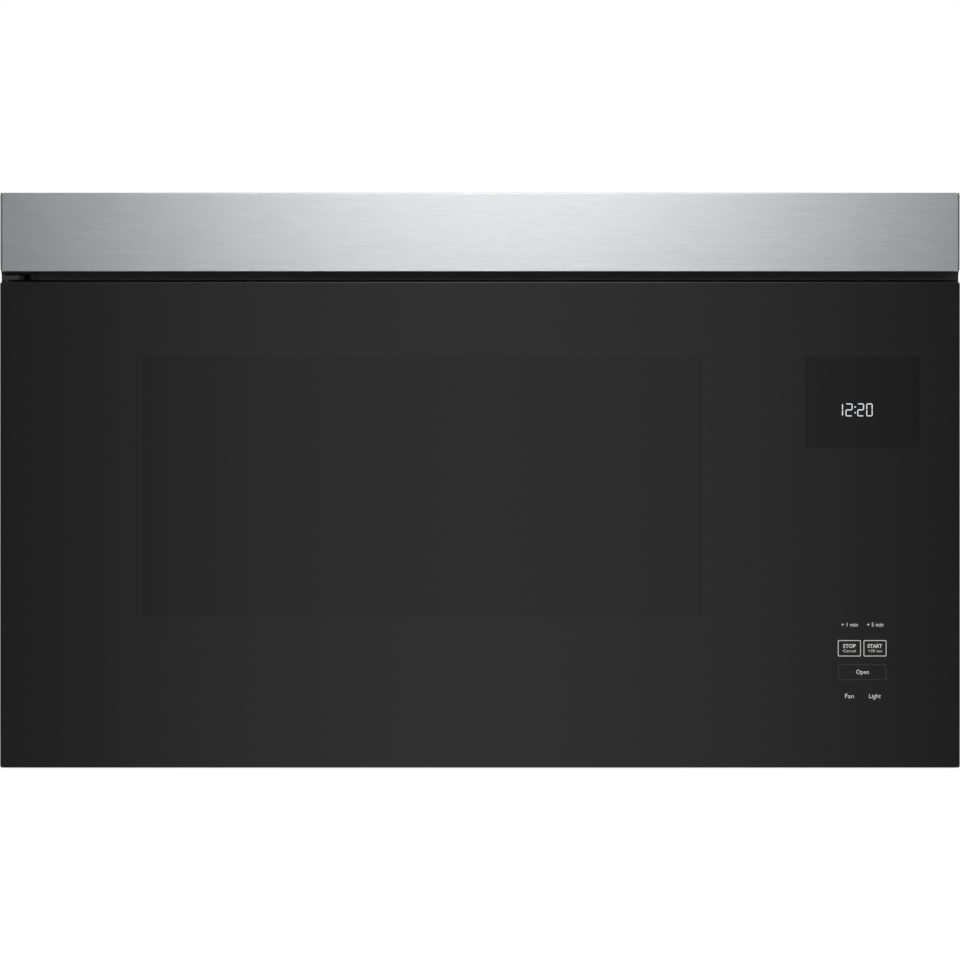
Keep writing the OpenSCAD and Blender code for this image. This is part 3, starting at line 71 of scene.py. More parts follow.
def linear(code):
    """sRGB hex to linear RGBA: a channel c up to 0.04045 is c/12.92, above it ((c + 0.055)/1.055) to the 2.4."""
    c = np.array([int(code[i:i + 2], 16) for i in (1, 3, 5)]) / 255
    return (*np.where(c <= 0.04045, c / 12.92, ((c + 0.055) / 1.055) ** 2.4).tolist(), 1.0)


def add(tree, kind, sockets=None, **settings):
    """Adds one node, sets its properties, and fills or links its input sockets by name or number."""
    made = tree.nodes.new("ShaderNode" + kind)
    for key, value in settings.items():
        setattr(made, key, value)
    for key, value in (sockets or {}).items():
        if isinstance(value, bpy.types.NodeSocket):
            tree.links.new(value, made.inputs[key])
        else:
            made.inputs[key].default_value = value
    return made


def calc(tree, operation, *values, **settings):
    """The result of a Math node over one to three values, each a number or a socket."""
    return add(tree, "Math", dict(enumerate(values)), operation=operation, **settings).outputs[0]


def ramp(tree, value, start, end, low, high):
    """Low where the value is start or less, high where it is end or more, and a straight line between."""
    return add(tree, "MapRange", {0: value, 1: start, 2: end, 3: low, 4: high}).outputs[0]


def toned(tree, factor, low, high):
    """The colour low where the factor is 0 and high where it is 1, each a hex code or a socket."""
    low, high = (linear(c) if isinstance(c, str) else c for c in (low, high))
    return add(tree, "Mix", {0: factor, 6: low, 7: high}, data_type="RGBA").outputs[2]


def place_on(tree):
    """Object coordinates, which are metres on every piece here."""
    return add(tree, "TexCoord").outputs["Object"]


def empty_material(name):
    """A new material and its node tree with nothing in it."""
    made = bpy.data.materials.new(name)
    made.use_nodes = True
    made.node_tree.nodes.clear()
    return made, made.node_tree


def piece(name, points, faces, body, finish, smooth=None, uv=None):
    """A mesh object from points and faces, outward, with its finish. The volume of a closed mesh is a sixth of
    the sum of a.(b x c) over its triangles, so where that sum is negative, every face is turned round. Smooth
    shading is for the four-sided faces of the skin: a flat end with many sides has to stay flat."""
    mesh = bpy.data.meshes.new(name)
    mesh.from_pydata(np.asarray(points, float).tolist(), [], [list(map(int, f)) for f in faces])
    mesh.calc_loop_triangles()
    corner = np.empty(len(mesh.loop_triangles) * 3, np.int64)
    mesh.loop_triangles.foreach_get("vertices", corner)
    a, b, c = np.asarray(points, float)[corner.reshape(-1, 3)].transpose(1, 0, 2)
    if np.einsum("ij,ij->i", a, np.cross(b, c)).sum() < 0:
        mesh.flip_normals()
    if smooth is not None:
        mesh.set_sharp_from_angle(angle=math.radians(smooth))
        sides = np.empty(len(mesh.polygons), np.int32)
        mesh.polygons.foreach_get("loop_total", sides)
        mesh.polygons.foreach_set("use_smooth", sides <= 4)
    if uv is not None:
        layer = mesh.uv_layers.new(name="grain")
        at = np.empty(len(mesh.loops), np.int64)
        mesh.loops.foreach_get("vertex_index", at)
        layer.data.foreach_set("uv", np.asarray(uv, np.float32)[at].ravel())
    mesh.materials.append(finishes[finish])
    made = bpy.data.objects.new(name, mesh)
    bpy.context.scene.collection.objects.link(made)
    if body:
        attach(made, body)
    return made


# %% [markdown]
# ## Camera
# The photograph is taken square on and from so far away that no side of the object shows, not even in the gap
# under the strip. A very long lens 30 m in front of the glass does the same and makes the object fill the
# frame's width.

# %% Camera square on
glass_low, glass_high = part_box("door_glass")
strip_low, strip_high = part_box("steel_strip")
lens_height = 0.2274
lens_back = 30.0
camera = bpy.data.cameras.new("front_camera")
camera.sensor_width = 36
camera.lens = 1423.1
camera.clip_end = 100
eye = bpy.data.objects.new("front_camera", camera)
eye.location = (0, glass_low.y - lens_back, lens_height)
eye.rotation_euler = (math.radians(90), 0, 0)
bpy.context.scene.collection.objects.link(eye)
bpy.context.scene.camera = eye
filled = (glass_high.x - glass_low.x) / lens_back * camera.lens / camera.sensor_width
print("the object fills", round(filled * 100, 1), "% of the width")

# %% [markdown]
# ## World, floor and studio
# The background is white to the camera and to reflections, but lights the object only as a plain grey room does.
# The floor shows white as well and still takes the object's shadow: its own glow fills it up to white where the
# lamps reach it, and falls short of white in the shadow. It lies a millimetre under the object. From below it is
# left out, and it lets light from below through, so that the underside is lit and shows like the other sides.

# %% World and floor
room_strength = 0.62
scene = bpy.context.scene
scene.view_settings.view_transform = "Standard"
world = bpy.data.worlds.new("studio_air")
scene.world = world
world.use_nodes = True
air = world.node_tree
air.nodes.clear()
ray = add(air, "LightPath")
seen = calc(air, "MAXIMUM", ray.outputs["Is Camera Ray"], ray.outputs["Is Glossy Ray"])
shown = calc(air, "MAXIMUM", seen, ray.outputs["Is Transmission Ray"])
room = add(air, "Background", {"Color": linear("#ffffff"), "Strength": room_strength})
white = add(air, "Background", {"Color": linear("#ffffff"), "Strength": 1.0})
both = add(air, "MixShader", {0: shown, 1: room.outputs[0], 2: white.outputs[0]})
add(air, "OutputWorld", {0: both.outputs[0]})


def stage_mesh(name, points, faces, material):
    """A staged sheet that isn't part of the object."""
    mesh = bpy.data.meshes.new(name)
    mesh.from_pydata(points, [], faces)
    mesh.materials.append(material)
    made = bpy.data.objects.new(name, mesh)
    scene.collection.objects.link(made)
    return made


def hide_from(made, *rays):
    """The named kinds of ray go past this object."""
    for kind in rays:
        setattr(made, "visible_" + kind, False)


floor_half = 34.0
floor_z = -0.001
floor_glow = 0.80
floor_paint, tree = empty_material("white_floor_paint")
ray = add(tree, "LightPath")
paint = add(tree, "BsdfDiffuse", {"Color": linear("#e6e6e6")})
faint = add(tree, "BsdfDiffuse", {"Color": linear("#a0a0a0")})
glow = add(tree, "Emission", {"Color": linear("#ffffff"), "Strength": floor_glow})
lit = add(tree, "AddShader", {0: faint.outputs[0], 1: glow.outputs[0]})
direct = add(tree, "MixShader", {0: ray.outputs["Is Camera Ray"], 1: paint.outputs[0], 2: lit.outputs[0]})
hole = add(tree, "BsdfTransparent", {"Color": linear("#ffffff")})
side = add(tree, "NewGeometry")
sided = add(tree, "MixShader", {0: side.outputs["Backfacing"], 1: direct.outputs[0], 2: hole.outputs[0]})
add(tree, "OutputMaterial", {0: sided.outputs[0]})
floor_corners = [(i * floor_half, j * floor_half, floor_z) for i, j in ((-1, -1), (1, -1), (1, 1), (-1, 1))]
floor_sheet = stage_mesh("studio_floor", floor_corners, [(0, 1, 2, 3)], floor_paint)
hide_from(floor_sheet, "glossy", "diffuse", "shadow")
print("floor", 2 * floor_half, "m square")

# %% [markdown]
# ## What the gloss sees
# Black glass and steel show the room in front of them, so that room is modelled: a dome, a little over half a
# sphere, that only reflections see. It is brighter in a column straight ahead and dim beside it, as a studio with
# one tall soft light behind the camera is. It gives the glass its slow change from the middle to the sides. A
# second, nearer card above the camera's view gives the steel strip its stronger bright middle.

# %% Reflection dome and strip card
dome_radius = 9.6
dome_steps = 49
past_half = 0.4
column_glow = 0.578
column_width = 0.576
column_foot = -0.2
side_glow = 0.14


def reflector(name, build, points, faces):
    """A sheet that only reflections see, whose glow build(tree) returns as a socket."""
    card, tree = empty_material(name)
    light = add(tree, "Emission", {"Color": linear("#ffffff"), "Strength": build(tree)})
    add(tree, "OutputMaterial", {0: light.outputs[0]})
    made = stage_mesh(name, points, faces, card)
    hide_from(made, "camera", "diffuse", "shadow", "transmission", "volume_scatter")


def bell(tree, centre, width, low, high, least=0.0):
    """Glow across x: low + (high - low) * exp(-((x - centre) / width) squared), and nowhere under least."""
    across = add(tree, "SeparateXYZ", {0: place_on(tree)}).outputs[0]
    step = calc(tree, "DIVIDE", calc(tree, "SUBTRACT", across, centre), width)
    minus_square = calc(tree, "MULTIPLY", calc(tree, "MULTIPLY", step, step), -1.0)
    glow = calc(tree, "MULTIPLY_ADD", calc(tree, "EXPONENT", minus_square), high - low, low)
    return calc(tree, "MAXIMUM", glow, least)


turn = np.linspace(-past_half, math.pi + past_half, dome_steps)
lift = np.linspace(-0.5 * math.pi, 0.5 * math.pi, dome_steps)
turn_grid, lift_grid = np.meshgrid(turn, lift, indexing="ij")
dome_points = dome_radius * np.stack(
    [-np.cos(turn_grid) * np.cos(lift_grid), -np.sin(turn_grid) * np.cos(lift_grid), np.sin(lift_grid)], axis=-1)
cell = np.arange(dome_steps - 1)[:, None] * dome_steps + np.arange(dome_steps - 1)
dome_faces = np.stack([cell, cell + 1, cell + dome_steps + 1, cell + dome_steps], axis=-1).reshape(-1, 4)
reflector("reflection_dome", lambda t: bell(t, 0.0, column_width, column_foot, column_glow, side_glow),
          dome_points.reshape(-1, 3).tolist(), dome_faces.tolist())

card_glow = 10.45
card_width = 0.2788
card_centre = 0.0225
card_half = 0.9
card_y, card_lean = -1.45, 0.25
card_low, card_high = 0.80, 1.30
reflector("strip_card", lambda t: bell(t, card_centre, card_width, 0.0, card_glow),
          [(-card_half, card_y, card_low), (card_half, card_y, card_low),
           (card_half, card_y + card_lean, card_high), (-card_half, card_y + card_lean, card_high)],
          [(0, 1, 2, 3)])
print("dome radius", dome_radius, "m, card at", card_y, "m")

# %% [markdown]
# ## Soft lamps
# Six square lamps light the object from above, from both sides in front and behind, and from below. Neither the
# camera nor a reflection sees them. The top one hangs level, and the others face the middle of the object.

# %% Lamps: name, place, turn if not aimed, side in metres, power in watts
lamps = (
    ("top_softbox", (0.0, -0.3, 3.2), (0, 0, 0), 3.0, 34),
    ("front_left_softbox", (-2.6, -3.6, 2.2), None, 1.8, 30),
    ("front_right_softbox", (2.6, -3.6, 2.2), None, 1.8, 30),
    ("rear_left_softbox", (-2.8, 3.2, 2.0), None, 1.8, 26),
    ("rear_right_softbox", (2.8, 3.2, 2.0), None, 1.8, 26),
    ("low_softbox", (0.0, -0.6, -2.4), None, 2.4, 44),
)
lamp_aim = Vector((0, 0, 0.2))
for name, place, turned, width, power in lamps:
    light = bpy.data.lights.new(name, "AREA")
    light.shape = "SQUARE"
    light.size = width
    light.energy = power
    lamp = bpy.data.objects.new(name, light)
    lamp.location = place
    lamp.rotation_euler = turned or (lamp_aim - Vector(place)).to_track_quat("-Z", "Y").to_euler()
    hide_from(lamp, "camera", "glossy")
    scene.collection.objects.link(lamp)
print(len(lamps), "soft lamps")

# %% [markdown]
# ## Finishes
# Every finish starts from the principled shader and gets what its making leaves on it: the flow of a sprayed
# paint, the crystals of hot-dip zinc, the lines of an abrasive belt, the grain of a moulding tool. All patterns
# read Object coordinates, which are metres on every piece here, so a pattern's scale is one over its real size.

# %% A finish to start from
def finish_of(name, colour, rough, metal=0.0, **constants):
    """A principled material, as its tree and shader; constants go straight onto the shader's own sockets."""
    finishes[name], tree = empty_material(name)
    shader = add(tree, "BsdfPrincipled", {"Base Color": linear(colour), "Roughness": rough, "Metallic": metal})
    for key, value in constants.items():
        shader.inputs[key.replace("_", " ")].default_value = value
    add(tree, "OutputMaterial", {0: shader.outputs[0]})
    return tree, shader


def mottled(name, colour, rough, dark, pale, size, detail=3.0, metal=0.0, bump=0.0, depth=0.00005,
            rough_span=None, stretch=(1, 1, 1), **constants):
    """A finish with cloudy variation: noise whose cell is size metres picks a colour between dark and pale, and
    where they are asked for also a roughness and a height."""
    tree, shader = finish_of(name, colour, rough, metal, **constants)
    scaled = add(tree, "Mapping", {0: place_on(tree), "Scale": tuple(s / size for s in stretch)})
    noise = {"Vector": scaled.outputs[0], "Scale": 1.0, "Detail": detail, "Roughness": 0.55}
    cloud = add(tree, "TexNoise", noise).outputs[0]
    tree.links.new(toned(tree, cloud, dark, pale), shader.inputs["Base Color"])
    if rough_span:
        tree.links.new(ramp(tree, cloud, 0.3, 0.7, *rough_span), shader.inputs["Roughness"])
    if bump:
        relief = add(tree, "Bump", {"Height": cloud, "Strength": bump, "Distance": depth})
        tree.links.new(relief.outputs[0], shader.inputs["Normal"])


def banded(name, colour, rough, metal, dark, pale, radian, distortion, direction):
    """A finish in bands along one axis. The wave node turns by 20 times the scaled coordinate, so a radian of
    the wave is radian metres, and a whole band is 2 pi times that."""
    tree, shader = finish_of(name, colour, rough, metal)
    wave = {"Vector": place_on(tree), "Scale": 1 / radian / 20, "Distortion": distortion, "Detail": 1.0}
    bands = add(tree, "TexWave", wave, wave_type="BANDS", bands_direction=direction)
    tree.links.new(toned(tree, bands.outputs[1], dark, pale), shader.inputs["Base Color"])


# %% [markdown]
# ### Painted, zinc-coated and enamelled sheet
# The case is sheet steel. Its outer wrap is dark powder paint, which flows to a faint orange peel of about
# 1.5 mm. The back, base and ducts are hot-dip galvanised: zinc crystals some 6 mm across that tilt differently
# and so catch the light differently. The cavity is sprayed with a smooth grey enamel.

# %% Sheet finishes
mottled("powder_painted_case", "#3b3c3e", 0.42, "#383a3c", "#404244", 0.0015, 2.0, bump=0.35,
        rough_span=(0.36, 0.48))

zinc_crystal = 0.006
tree, shader = finish_of("galvanised_sheet", "#a4a6a8", 0.4, 0.85)
crystal = add(tree, "TexVoronoi", {"Vector": place_on(tree), "Scale": 1 / zinc_crystal, "Randomness": 1.0})
shade = add(tree, "SeparateColor", {0: crystal.outputs["Color"]})
tree.links.new(toned(tree, shade.outputs[0], "#9fa2a5", "#adb0b3"), shader.inputs["Base Color"])
tree.links.new(ramp(tree, shade.outputs[1], 0.0, 1.0, 0.4, 0.5), shader.inputs["Roughness"])

mottled("cavity_enamel", "#b4b6b8", 0.3, "#acaeb0", "#bcbec0", 0.0009, bump=0.2, rough_span=(0.24, 0.36))

# %% [markdown]
# ### Bright and dark metals
# The shaft, nuts, screws and spring are zinc plated: bright, slightly blue, with fine handling marks. Hinge
# brackets and the window screen are blackened. The grease filters are anodised aluminium, softer and greyer.
# Laminations and copper windings get bands along the way they are stacked or wound.

# %% Metal finishes
mottled("bright_zinc_plate", "#c3c6c9", 0.28, "#b7babd", "#cdd0d3", 0.004, 4.0, metal=1.0, rough_span=(0.22, 0.38))
mottled("black_oxide_steel", "#232425", 0.4, "#1e1f20", "#2a2b2c", 0.003, metal=0.35, rough_span=(0.34, 0.48))
mottled("dipped_black_hinge_steel", "#2b2c2e", 0.46, "#262729", "#323335", 0.003, metal=0.3,
        rough_span=(0.4, 0.54))
mottled("dark_painted_front_frame", "#232426", 0.5, "#202123", "#272829", 0.0015, 2.0, bump=0.3,
        rough_span=(0.44, 0.56))
mottled("phosphated_steel", "#5f6163", 0.42, "#56585a", "#6a6c6e", 0.003, 4.0, metal=0.7, rough_span=(0.34, 0.5))
mottled("anodised_aluminium", "#b7b9bb", 0.36, "#adafb1", "#c1c3c5", 0.002, metal=0.9, rough_span=(0.3, 0.44))
mottled("drawn_motor_can", "#77797c", 0.36, "#6d6f72", "#828487", 0.003, metal=0.85, rough_span=(0.3, 0.44),
        stretch=(1, 1, 4))
banded("varnished_laminations", "#5a5d60", 0.45, 0.6, "#45484b", "#6a6d70", 0.0010, 0.3, "Y")
banded("enamelled_copper_wire", "#b06a3a", 0.3, 0.75, "#7c3f1c", "#c27a45", 0.0012, 0.4, "Z")
print(len(finishes), "finishes so far")

# %% [markdown]
# ### Plastics, rubber, ceramic and boards
# The door frame and the strip's carrier are black moulded plastic with a fine spark grain, about half a
# millimetre. Latch pieces are natural white plastic. The oven's floor is a glass ceramic with fine grey specks.

# %% Plastic, ceramic and board finishes
mottled("grained_black_plastic", "#1d1e1f", 0.48, "#1a1b1c", "#202122", 0.0006, 2.0, bump=0.3, depth=0.00003,
        rough_span=(0.42, 0.56))
mottled("smooth_black_plastic", "#363738", 0.5, "#343536", "#38393a", 0.0008, 2.0, bump=0.15, depth=0.00002,
        rough_span=(0.46, 0.54))
mottled("dark_glass_filled_plastic", "#333437", 0.5, "#2e2f32", "#38393c", 0.0015, 4.0, rough_span=(0.42, 0.58))
mottled("natural_white_plastic", "#dedcd4", 0.42, "#d8d6ce", "#e4e2da", 0.004, 2.0, rough_span=(0.36, 0.48))
mottled("moulded_rubber", "#1b1b1c", 0.7, "#171718", "#202021", 0.001, bump=0.2, rough_span=(0.62, 0.78))

fleck_cell = 0.0035
tree, shader = finish_of("glass_ceramic_plate", "#e2dfd6", 0.22)
fleck = add(tree, "TexVoronoi", {"Vector": place_on(tree), "Scale": 1 / fleck_cell})
dot = ramp(tree, fleck.outputs["Distance"], 0.12, 0.2, 1.0, 0.0)
tree.links.new(toned(tree, dot, "#e2dfd6", "#b9b6ad"), shader.inputs["Base Color"])

granule = 0.003
granule_depth = 0.0008
tree, shader = finish_of("charcoal_granules", "#2a2b2c", 0.8)
grain = add(tree, "TexVoronoi", {"Vector": place_on(tree), "Scale": 1 / granule}).outputs["Distance"]
# Painted shade: the colour darkens from each granule's middle out to the gaps between granules.
tree.links.new(toned(tree, grain, "#38393a", "#0e0e0f"), shader.inputs["Base Color"])
relief = add(tree, "Bump", {"Height": grain, "Strength": 0.8, "Distance": granule_depth})
tree.links.new(relief.outputs[0], shader.inputs["Normal"])

tracks_per_metre = 60.0
tree, shader = finish_of("solder_masked_board", "#24523a", 0.35)
track = add(tree, "TexBrick", {
    "Vector": place_on(tree), "Scale": tracks_per_metre, "Color1": linear("#2a5f42"), "Color2": linear("#24523a"),
    "Mortar": linear("#1c4530"), "Mortar Size": 0.06})
tree.links.new(track.outputs[0], shader.inputs["Base Color"])

mottled("frosted_lens", "#f1f1ec", 0.35, "#ebebe6", "#f6f6f1", 0.003, 1.0, rough_span=(0.3, 0.42), IOR=1.49)
mottled("white_led_board", "#e9e9e4", 0.4, "#e2e2dd", "#efefea", 0.006, 1.0)
finish_of("clear_toughened_glass", "#e8f0ec", 0.02, IOR=1.5, Transmission_Weight=1.0)
print(len(finishes), "finishes")

# %% [markdown]
# ## Outlines and lofts
# A rounded rectangle is drawn as one closed row of points. Rows of the same length, one behind the other, are
# joined into a skin: the glass, the steel pan and the key borders are all such skins. The edges of the glass and
# the pan are eased by a few rows that step in along a quarter circle.

# %% Outline and loft
def rounded(x0, x1, z0, z1, radius, steps=8):
    """Closed outline of a rectangle whose corners are quarter circles: corner centre + radius * (cos, sin)."""
    turn = np.linspace(0, math.pi / 2, steps)
    left, right, foot, top = x0 + radius, x1 - radius, z0 + radius, z1 - radius
    corners = ((right, top), (left, top), (left, foot), (right, foot))
    return np.concatenate([
        np.stack([cx + radius * np.cos(turn + start), cz + radius * np.sin(turn + start)], axis=-1)
        for (cx, cz), start in zip(corners, np.arange(4) * math.pi / 2)])


def loft(rows, caps=True, closed=False):
    """Faces between rows of equal length: point j of row i joins j + 1 and the same two of row i + 1."""
    rows = np.asarray(rows, float)
    n, m = rows.shape[:2]
    i = np.arange(n if closed else n - 1)[:, None]
    j = np.arange(m)[None, :]
    ahead, beside = (i + 1) % n, (j + 1) % m
    quads = np.stack([i * m + j, i * m + beside, ahead * m + beside, ahead * m + j], axis=-1)
    faces = quads.reshape(-1, 4).tolist()
    if caps:
        faces += [list(range(m))[::-1], [(n - 1) * m + k for k in range(m)]]
    return rows.reshape(-1, 3), faces


def row(x0, x1, z0, z1, radius, inset, y, sharpest=0.0002):
    """One outline, inset all round, at depth y. Its corner radius shrinks with the inset, down to sharpest."""
    flat = rounded(x0 + inset, x1 - inset, z0 + inset, z1 - inset, max(radius - inset, sharpest))
    return np.stack([flat[:, 0], np.full(len(flat), y), flat[:, 1]], axis=-1)


def eased(x0, x1, z0, z1, radius, y0, y1, ease, steps=4):
    """Rows of a plate from y0 to y1 whose two rims are quarter circles of radius ease."""
    turn = np.linspace(0, math.pi / 2, steps)
    front = [row(x0, x1, z0, z1, radius, ease * (1 - math.sin(t)), y0 + ease * (1 - math.cos(t))) for t in turn]
    back = [row(x0, x1, z0, z1, radius, ease * (1 - math.cos(t)), y1 - ease * (1 - math.sin(t))) for t in turn]
    return front + back


# %% [markdown]
# ## The door's glass
# A sheet of toughened glass, 4 mm thick, with ground edges, printed black on its rear face. The window and the
# display field are left out of that print, and there the pane is coloured a shade darker than the print: partly
# the bare tinted glass, and partly painted shade for the dark inside behind it. The glass keeps its own 4 %
# reflection, which is most of what the eye sees of it from the front.

# %% Printed black glass
window = (-0.26715, 0.17555, 0.1195, 0.3245)
display = (0.2565, 0.3479, 0.2525, 0.3248)
window_edge, display_edge = 0.0016, 0.0010
legend_room = 0.00008
pane_corner, pane_ease = 0.002, 0.0004
pane_front = glass_low.y + legend_room

tree, shader = finish_of("black_printed_glass", "#161617", 0.015, IOR=1.5)
axes = add(tree, "SeparateXYZ", {0: place_on(tree)})


def field(tree, axes, x0, x1, z0, z1, soft):
    """1 inside a rectangle and 0 outside, with a soft edge: the smallest of the four ramps from its sides."""
    ramps = []
    for socket, start, sign in ((0, x0, 1), (0, x1, -1), (2, z0, 1), (2, z1, -1)):
        shifted = calc(tree, "SUBTRACT", axes.outputs[socket], start)
        ramps.append(calc(tree, "MULTIPLY_ADD", shifted, sign / soft, 0.5, use_clamp=True))
    return calc(tree, "MINIMUM", calc(tree, "MINIMUM", *ramps[:2]), calc(tree, "MINIMUM", *ramps[2:]))


# Painted shade: the window and display fields are coloured darker than the print, partly for the bare tinted glass
# and partly for the dark inside behind it.
in_window = field(tree, axes, *window, window_edge)
in_display = field(tree, axes, *display, display_edge)
print_and_window_shade = toned(tree, in_display, toned(tree, in_window, "#161617", "#111112"), "#0d0d0e")
tree.links.new(print_and_window_shade, shader.inputs["Base Color"])

pane_rows = eased(glass_low.x, glass_high.x, glass_low.z, glass_high.z, pane_corner, pane_front, glass_high.y,
                  pane_ease)
pane = piece("door_pane", *loft(pane_rows), "door", "black_printed_glass", smooth=40)
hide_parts("door_glass")
print("glass", round(glass_high.x - glass_low.x, 4), "x", round(glass_high.z - glass_low.z, 4), "m")

# %% [markdown]
# ## The steel strip
# One sheet of 0.8 mm stainless steel, folded back tightly on all four sides into a shallow pan, then brushed
# lengthwise on an abrasive belt. The belt's lines are some 16 mm long. Light spreads far across such lines and
# little along them, which is what anisotropy does; the piece's own UV map gives the direction, with u running up
# the strip. A dark line is painted along both end bends: painted shade for the dark that the bends reflect.

# %% Brushed steel strip
sheet = 0.0008
fold = 0.0005
strip_corner = 0.002
line_size = (0.016, 0.001, 0.0008)
bend_shade_in, bend_shade_half = 0.0009, 0.0005
tree, shader = finish_of("brushed_stainless_with_bend_shade", "#b5b6b8", 0.34, 1.0)
shader.inputs["Anisotropic"].default_value = 0.85
place = place_on(tree)
lines = add(tree, "Mapping", {0: place, "Scale": tuple(1 / size for size in line_size)})
noise = {"Vector": lines.outputs[0], "Scale": 1.0, "Detail": 3.0, "Roughness": 0.6}
scratch = add(tree, "TexNoise", noise).outputs[0]
# Painted shade: a dark line along both end bends, darker than the brushed steel, for the dark that the bends
# reflect.
from_middle = calc(tree, "ABSOLUTE", add(tree, "SeparateXYZ", {0: place}).outputs[0])
off_bend_shade = calc(tree, "ABSOLUTE", calc(tree, "SUBTRACT", from_middle, strip_high.x - bend_shade_in))
painted_bend_shade = calc(tree, "LESS_THAN", off_bend_shade, bend_shade_half)
steel_tone_and_bend_shade = toned(tree, painted_bend_shade, toned(tree, scratch, "#a9aaac", "#c1c2c4"), "#6d6e70")
tree.links.new(steel_tone_and_bend_shade, shader.inputs["Base Color"])
tree.links.new(ramp(tree, scratch, 0.3, 0.7, 0.31, 0.37), shader.inputs["Roughness"])
tangent = add(tree, "Tangent", direction_type="UV_MAP", uv_map="grain")
tree.links.new(tangent.outputs[0], shader.inputs["Tangent"])

turn = np.linspace(0, math.pi / 2, 6)
strip_sides = (strip_low.x, strip_high.x, strip_low.z, strip_high.z, strip_corner)
strip_rows = [row(*strip_sides, fold * (1 - math.sin(t)), strip_low.y + fold * (1 - math.cos(t))) for t in turn]
strip_rows += [row(*strip_sides, inset, y) for inset, y in
               ((0, strip_high.y), (sheet, strip_high.y), (sheet, strip_low.y + sheet))]
strip_points, strip_faces = loft(strip_rows)
grain_uv = np.stack([strip_points[:, 2] - strip_points[:, 1], strip_points[:, 0]], axis=-1)
strip = piece("brushed_strip", strip_points, strip_faces, "case", "brushed_stainless_with_bend_shade", smooth=40,
              uv=grain_uv)
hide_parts("steel_strip")
print("strip", len(strip_faces), "faces")

# %% [markdown]
# ## The recess beside the hinge
# The dark moulding under the strip has a notch for the hinge arm. A lug of the moulding closes the outer part of
# that notch again, so that only a narrow dark slot is left beside the arm, as the photograph shows.

# %% Lug of the recess moulding
carrier_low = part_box("strip_carrier")[0]
lug_x = (-0.3557, -0.3480)
lug_z = (carrier_low.z + 0.0004, carrier_low.z + 0.0062)
lug_front = strip_low.y + 0.016
lug_thick, lug_corner, lug_ease = 0.0018, 0.0003, 0.0002
lug_rows = eased(*lug_x, *lug_z, lug_corner, lug_front, lug_front + lug_thick, lug_ease)
lug = piece("recess_lug", *loft(lug_rows), "case", "smooth_black_plastic", smooth=40)
print("lug", [round(v * 1000, 2) for v in lug.dimensions], "mm")

# %% [markdown]
# ## Printed keys
# The keys have no travel: they are words and borders printed on the glass over a touch board. Each is a very thin
# raised print, so that it keeps clear of the glass. The words are plain ones in Blender's own font, turned into
# meshes before they are placed. Places are given in pixels of the square-on photograph, 0.7906 mm each.

# %% Print on the glass
mottled("white_ceramic_ink", "#c6c6c4", 0.5, "#c1c1bf", "#cbcbc9", 0.0008, 1.0)
mottled("grey_ceramic_ink", "#2a2a2b", 0.5, "#282829", "#2c2c2d", 0.0008, 1.0)
pixel = 0.0007906
photo_middle, photo_foot = 479.98, 767.25
print_room = 0.00002
print_front = glass_low.y
print_back = glass_low.y + legend_room - print_room
font_capital = 0.70
key_corner = 0.0009


def from_photo(px, py):
    """A pixel of the photograph in metres on the glass: x from the object's middle, z up from its foot."""
    return (px - photo_middle) * pixel, (photo_foot - py) * pixel


def photo_box(left, top, right, foot):
    """Sides x0, x1, z0, z1 on the glass of a rectangle in the photograph."""
    (x0, z1), (x1, z0) = from_photo(left, top), from_photo(right, foot)
    return x0, x1, z0, z1


def slab(outline):
    """Points and faces of a flat outline [(x, z), ...] given the print's thickness."""
    flat = np.asarray(outline, float)
    rows = [np.stack([flat[:, 0], np.full(len(flat), y), flat[:, 1]], axis=-1) for y in (print_front, print_back)]
    return loft(rows)


def border(x0, x1, z0, z1, width, radius):
    """A printed frame: four rows round its section, outer and inner, front and back, closed on itself."""
    rows = [row(x0, x1, z0, z1, radius, inset, y) for inset, y in
            ((0, print_front), (0, print_back), (width, print_back), (width, print_front))]
    return loft(rows, caps=False, closed=True)


def word(text, px0, px1, py, cap, weight=0.0):
    """A word as a mesh, scaled to run from px0 to px1 with capitals cap pixels high, centred on row py."""
    curve = bpy.data.curves.new("word", "FONT")
    curve.body = text
    curve.resolution_u = 3
    curve.offset = weight
    shape = bpy.data.objects.new("word", curve)
    scene.collection.objects.link(shape)
    flat = bpy.data.meshes.new_from_object(shape.evaluated_get(bpy.context.evaluated_depsgraph_get()))
    bpy.data.objects.remove(shape)
    co = np.empty(len(flat.vertices) * 3)
    flat.vertices.foreach_get("co", co)
    co = co.reshape(-1, 3)[:, :2]
    (x0, z), (x1, _) = from_photo(px0, py), from_photo(px1, py)
    span = co[:, 0].max() - co[:, 0].min()
    x = x0 + (co[:, 0] - co[:, 0].min()) / span * (x1 - x0)
    z = z + (co[:, 1] - font_capital / 2) * (cap * pixel / font_capital)
    front = np.stack([x, np.full(len(x), print_front), z], axis=-1)
    back = front + (0, print_back - print_front, 0)
    faces = [list(p.vertices) for p in flat.polygons]
    n = len(front)
    rim = dict.fromkeys((a, b) for face in faces for a, b in zip(face, face[1:] + face[:1]))
    walls = [[b, a, a + n, b + n] for a, b in rim if (b, a) not in rim]
    return np.concatenate([front, back]), faces + [[v + n for v in face[::-1]] for face in faces] + walls


def gather(parts):
    """Several point and face lists as one."""
    points, faces, start = [], [], 0
    for p, f in parts:
        points.append(np.asarray(p, float))
        faces += [[v + start for v in face] for face in f]
        start += len(p)
    return np.concatenate(points), faces


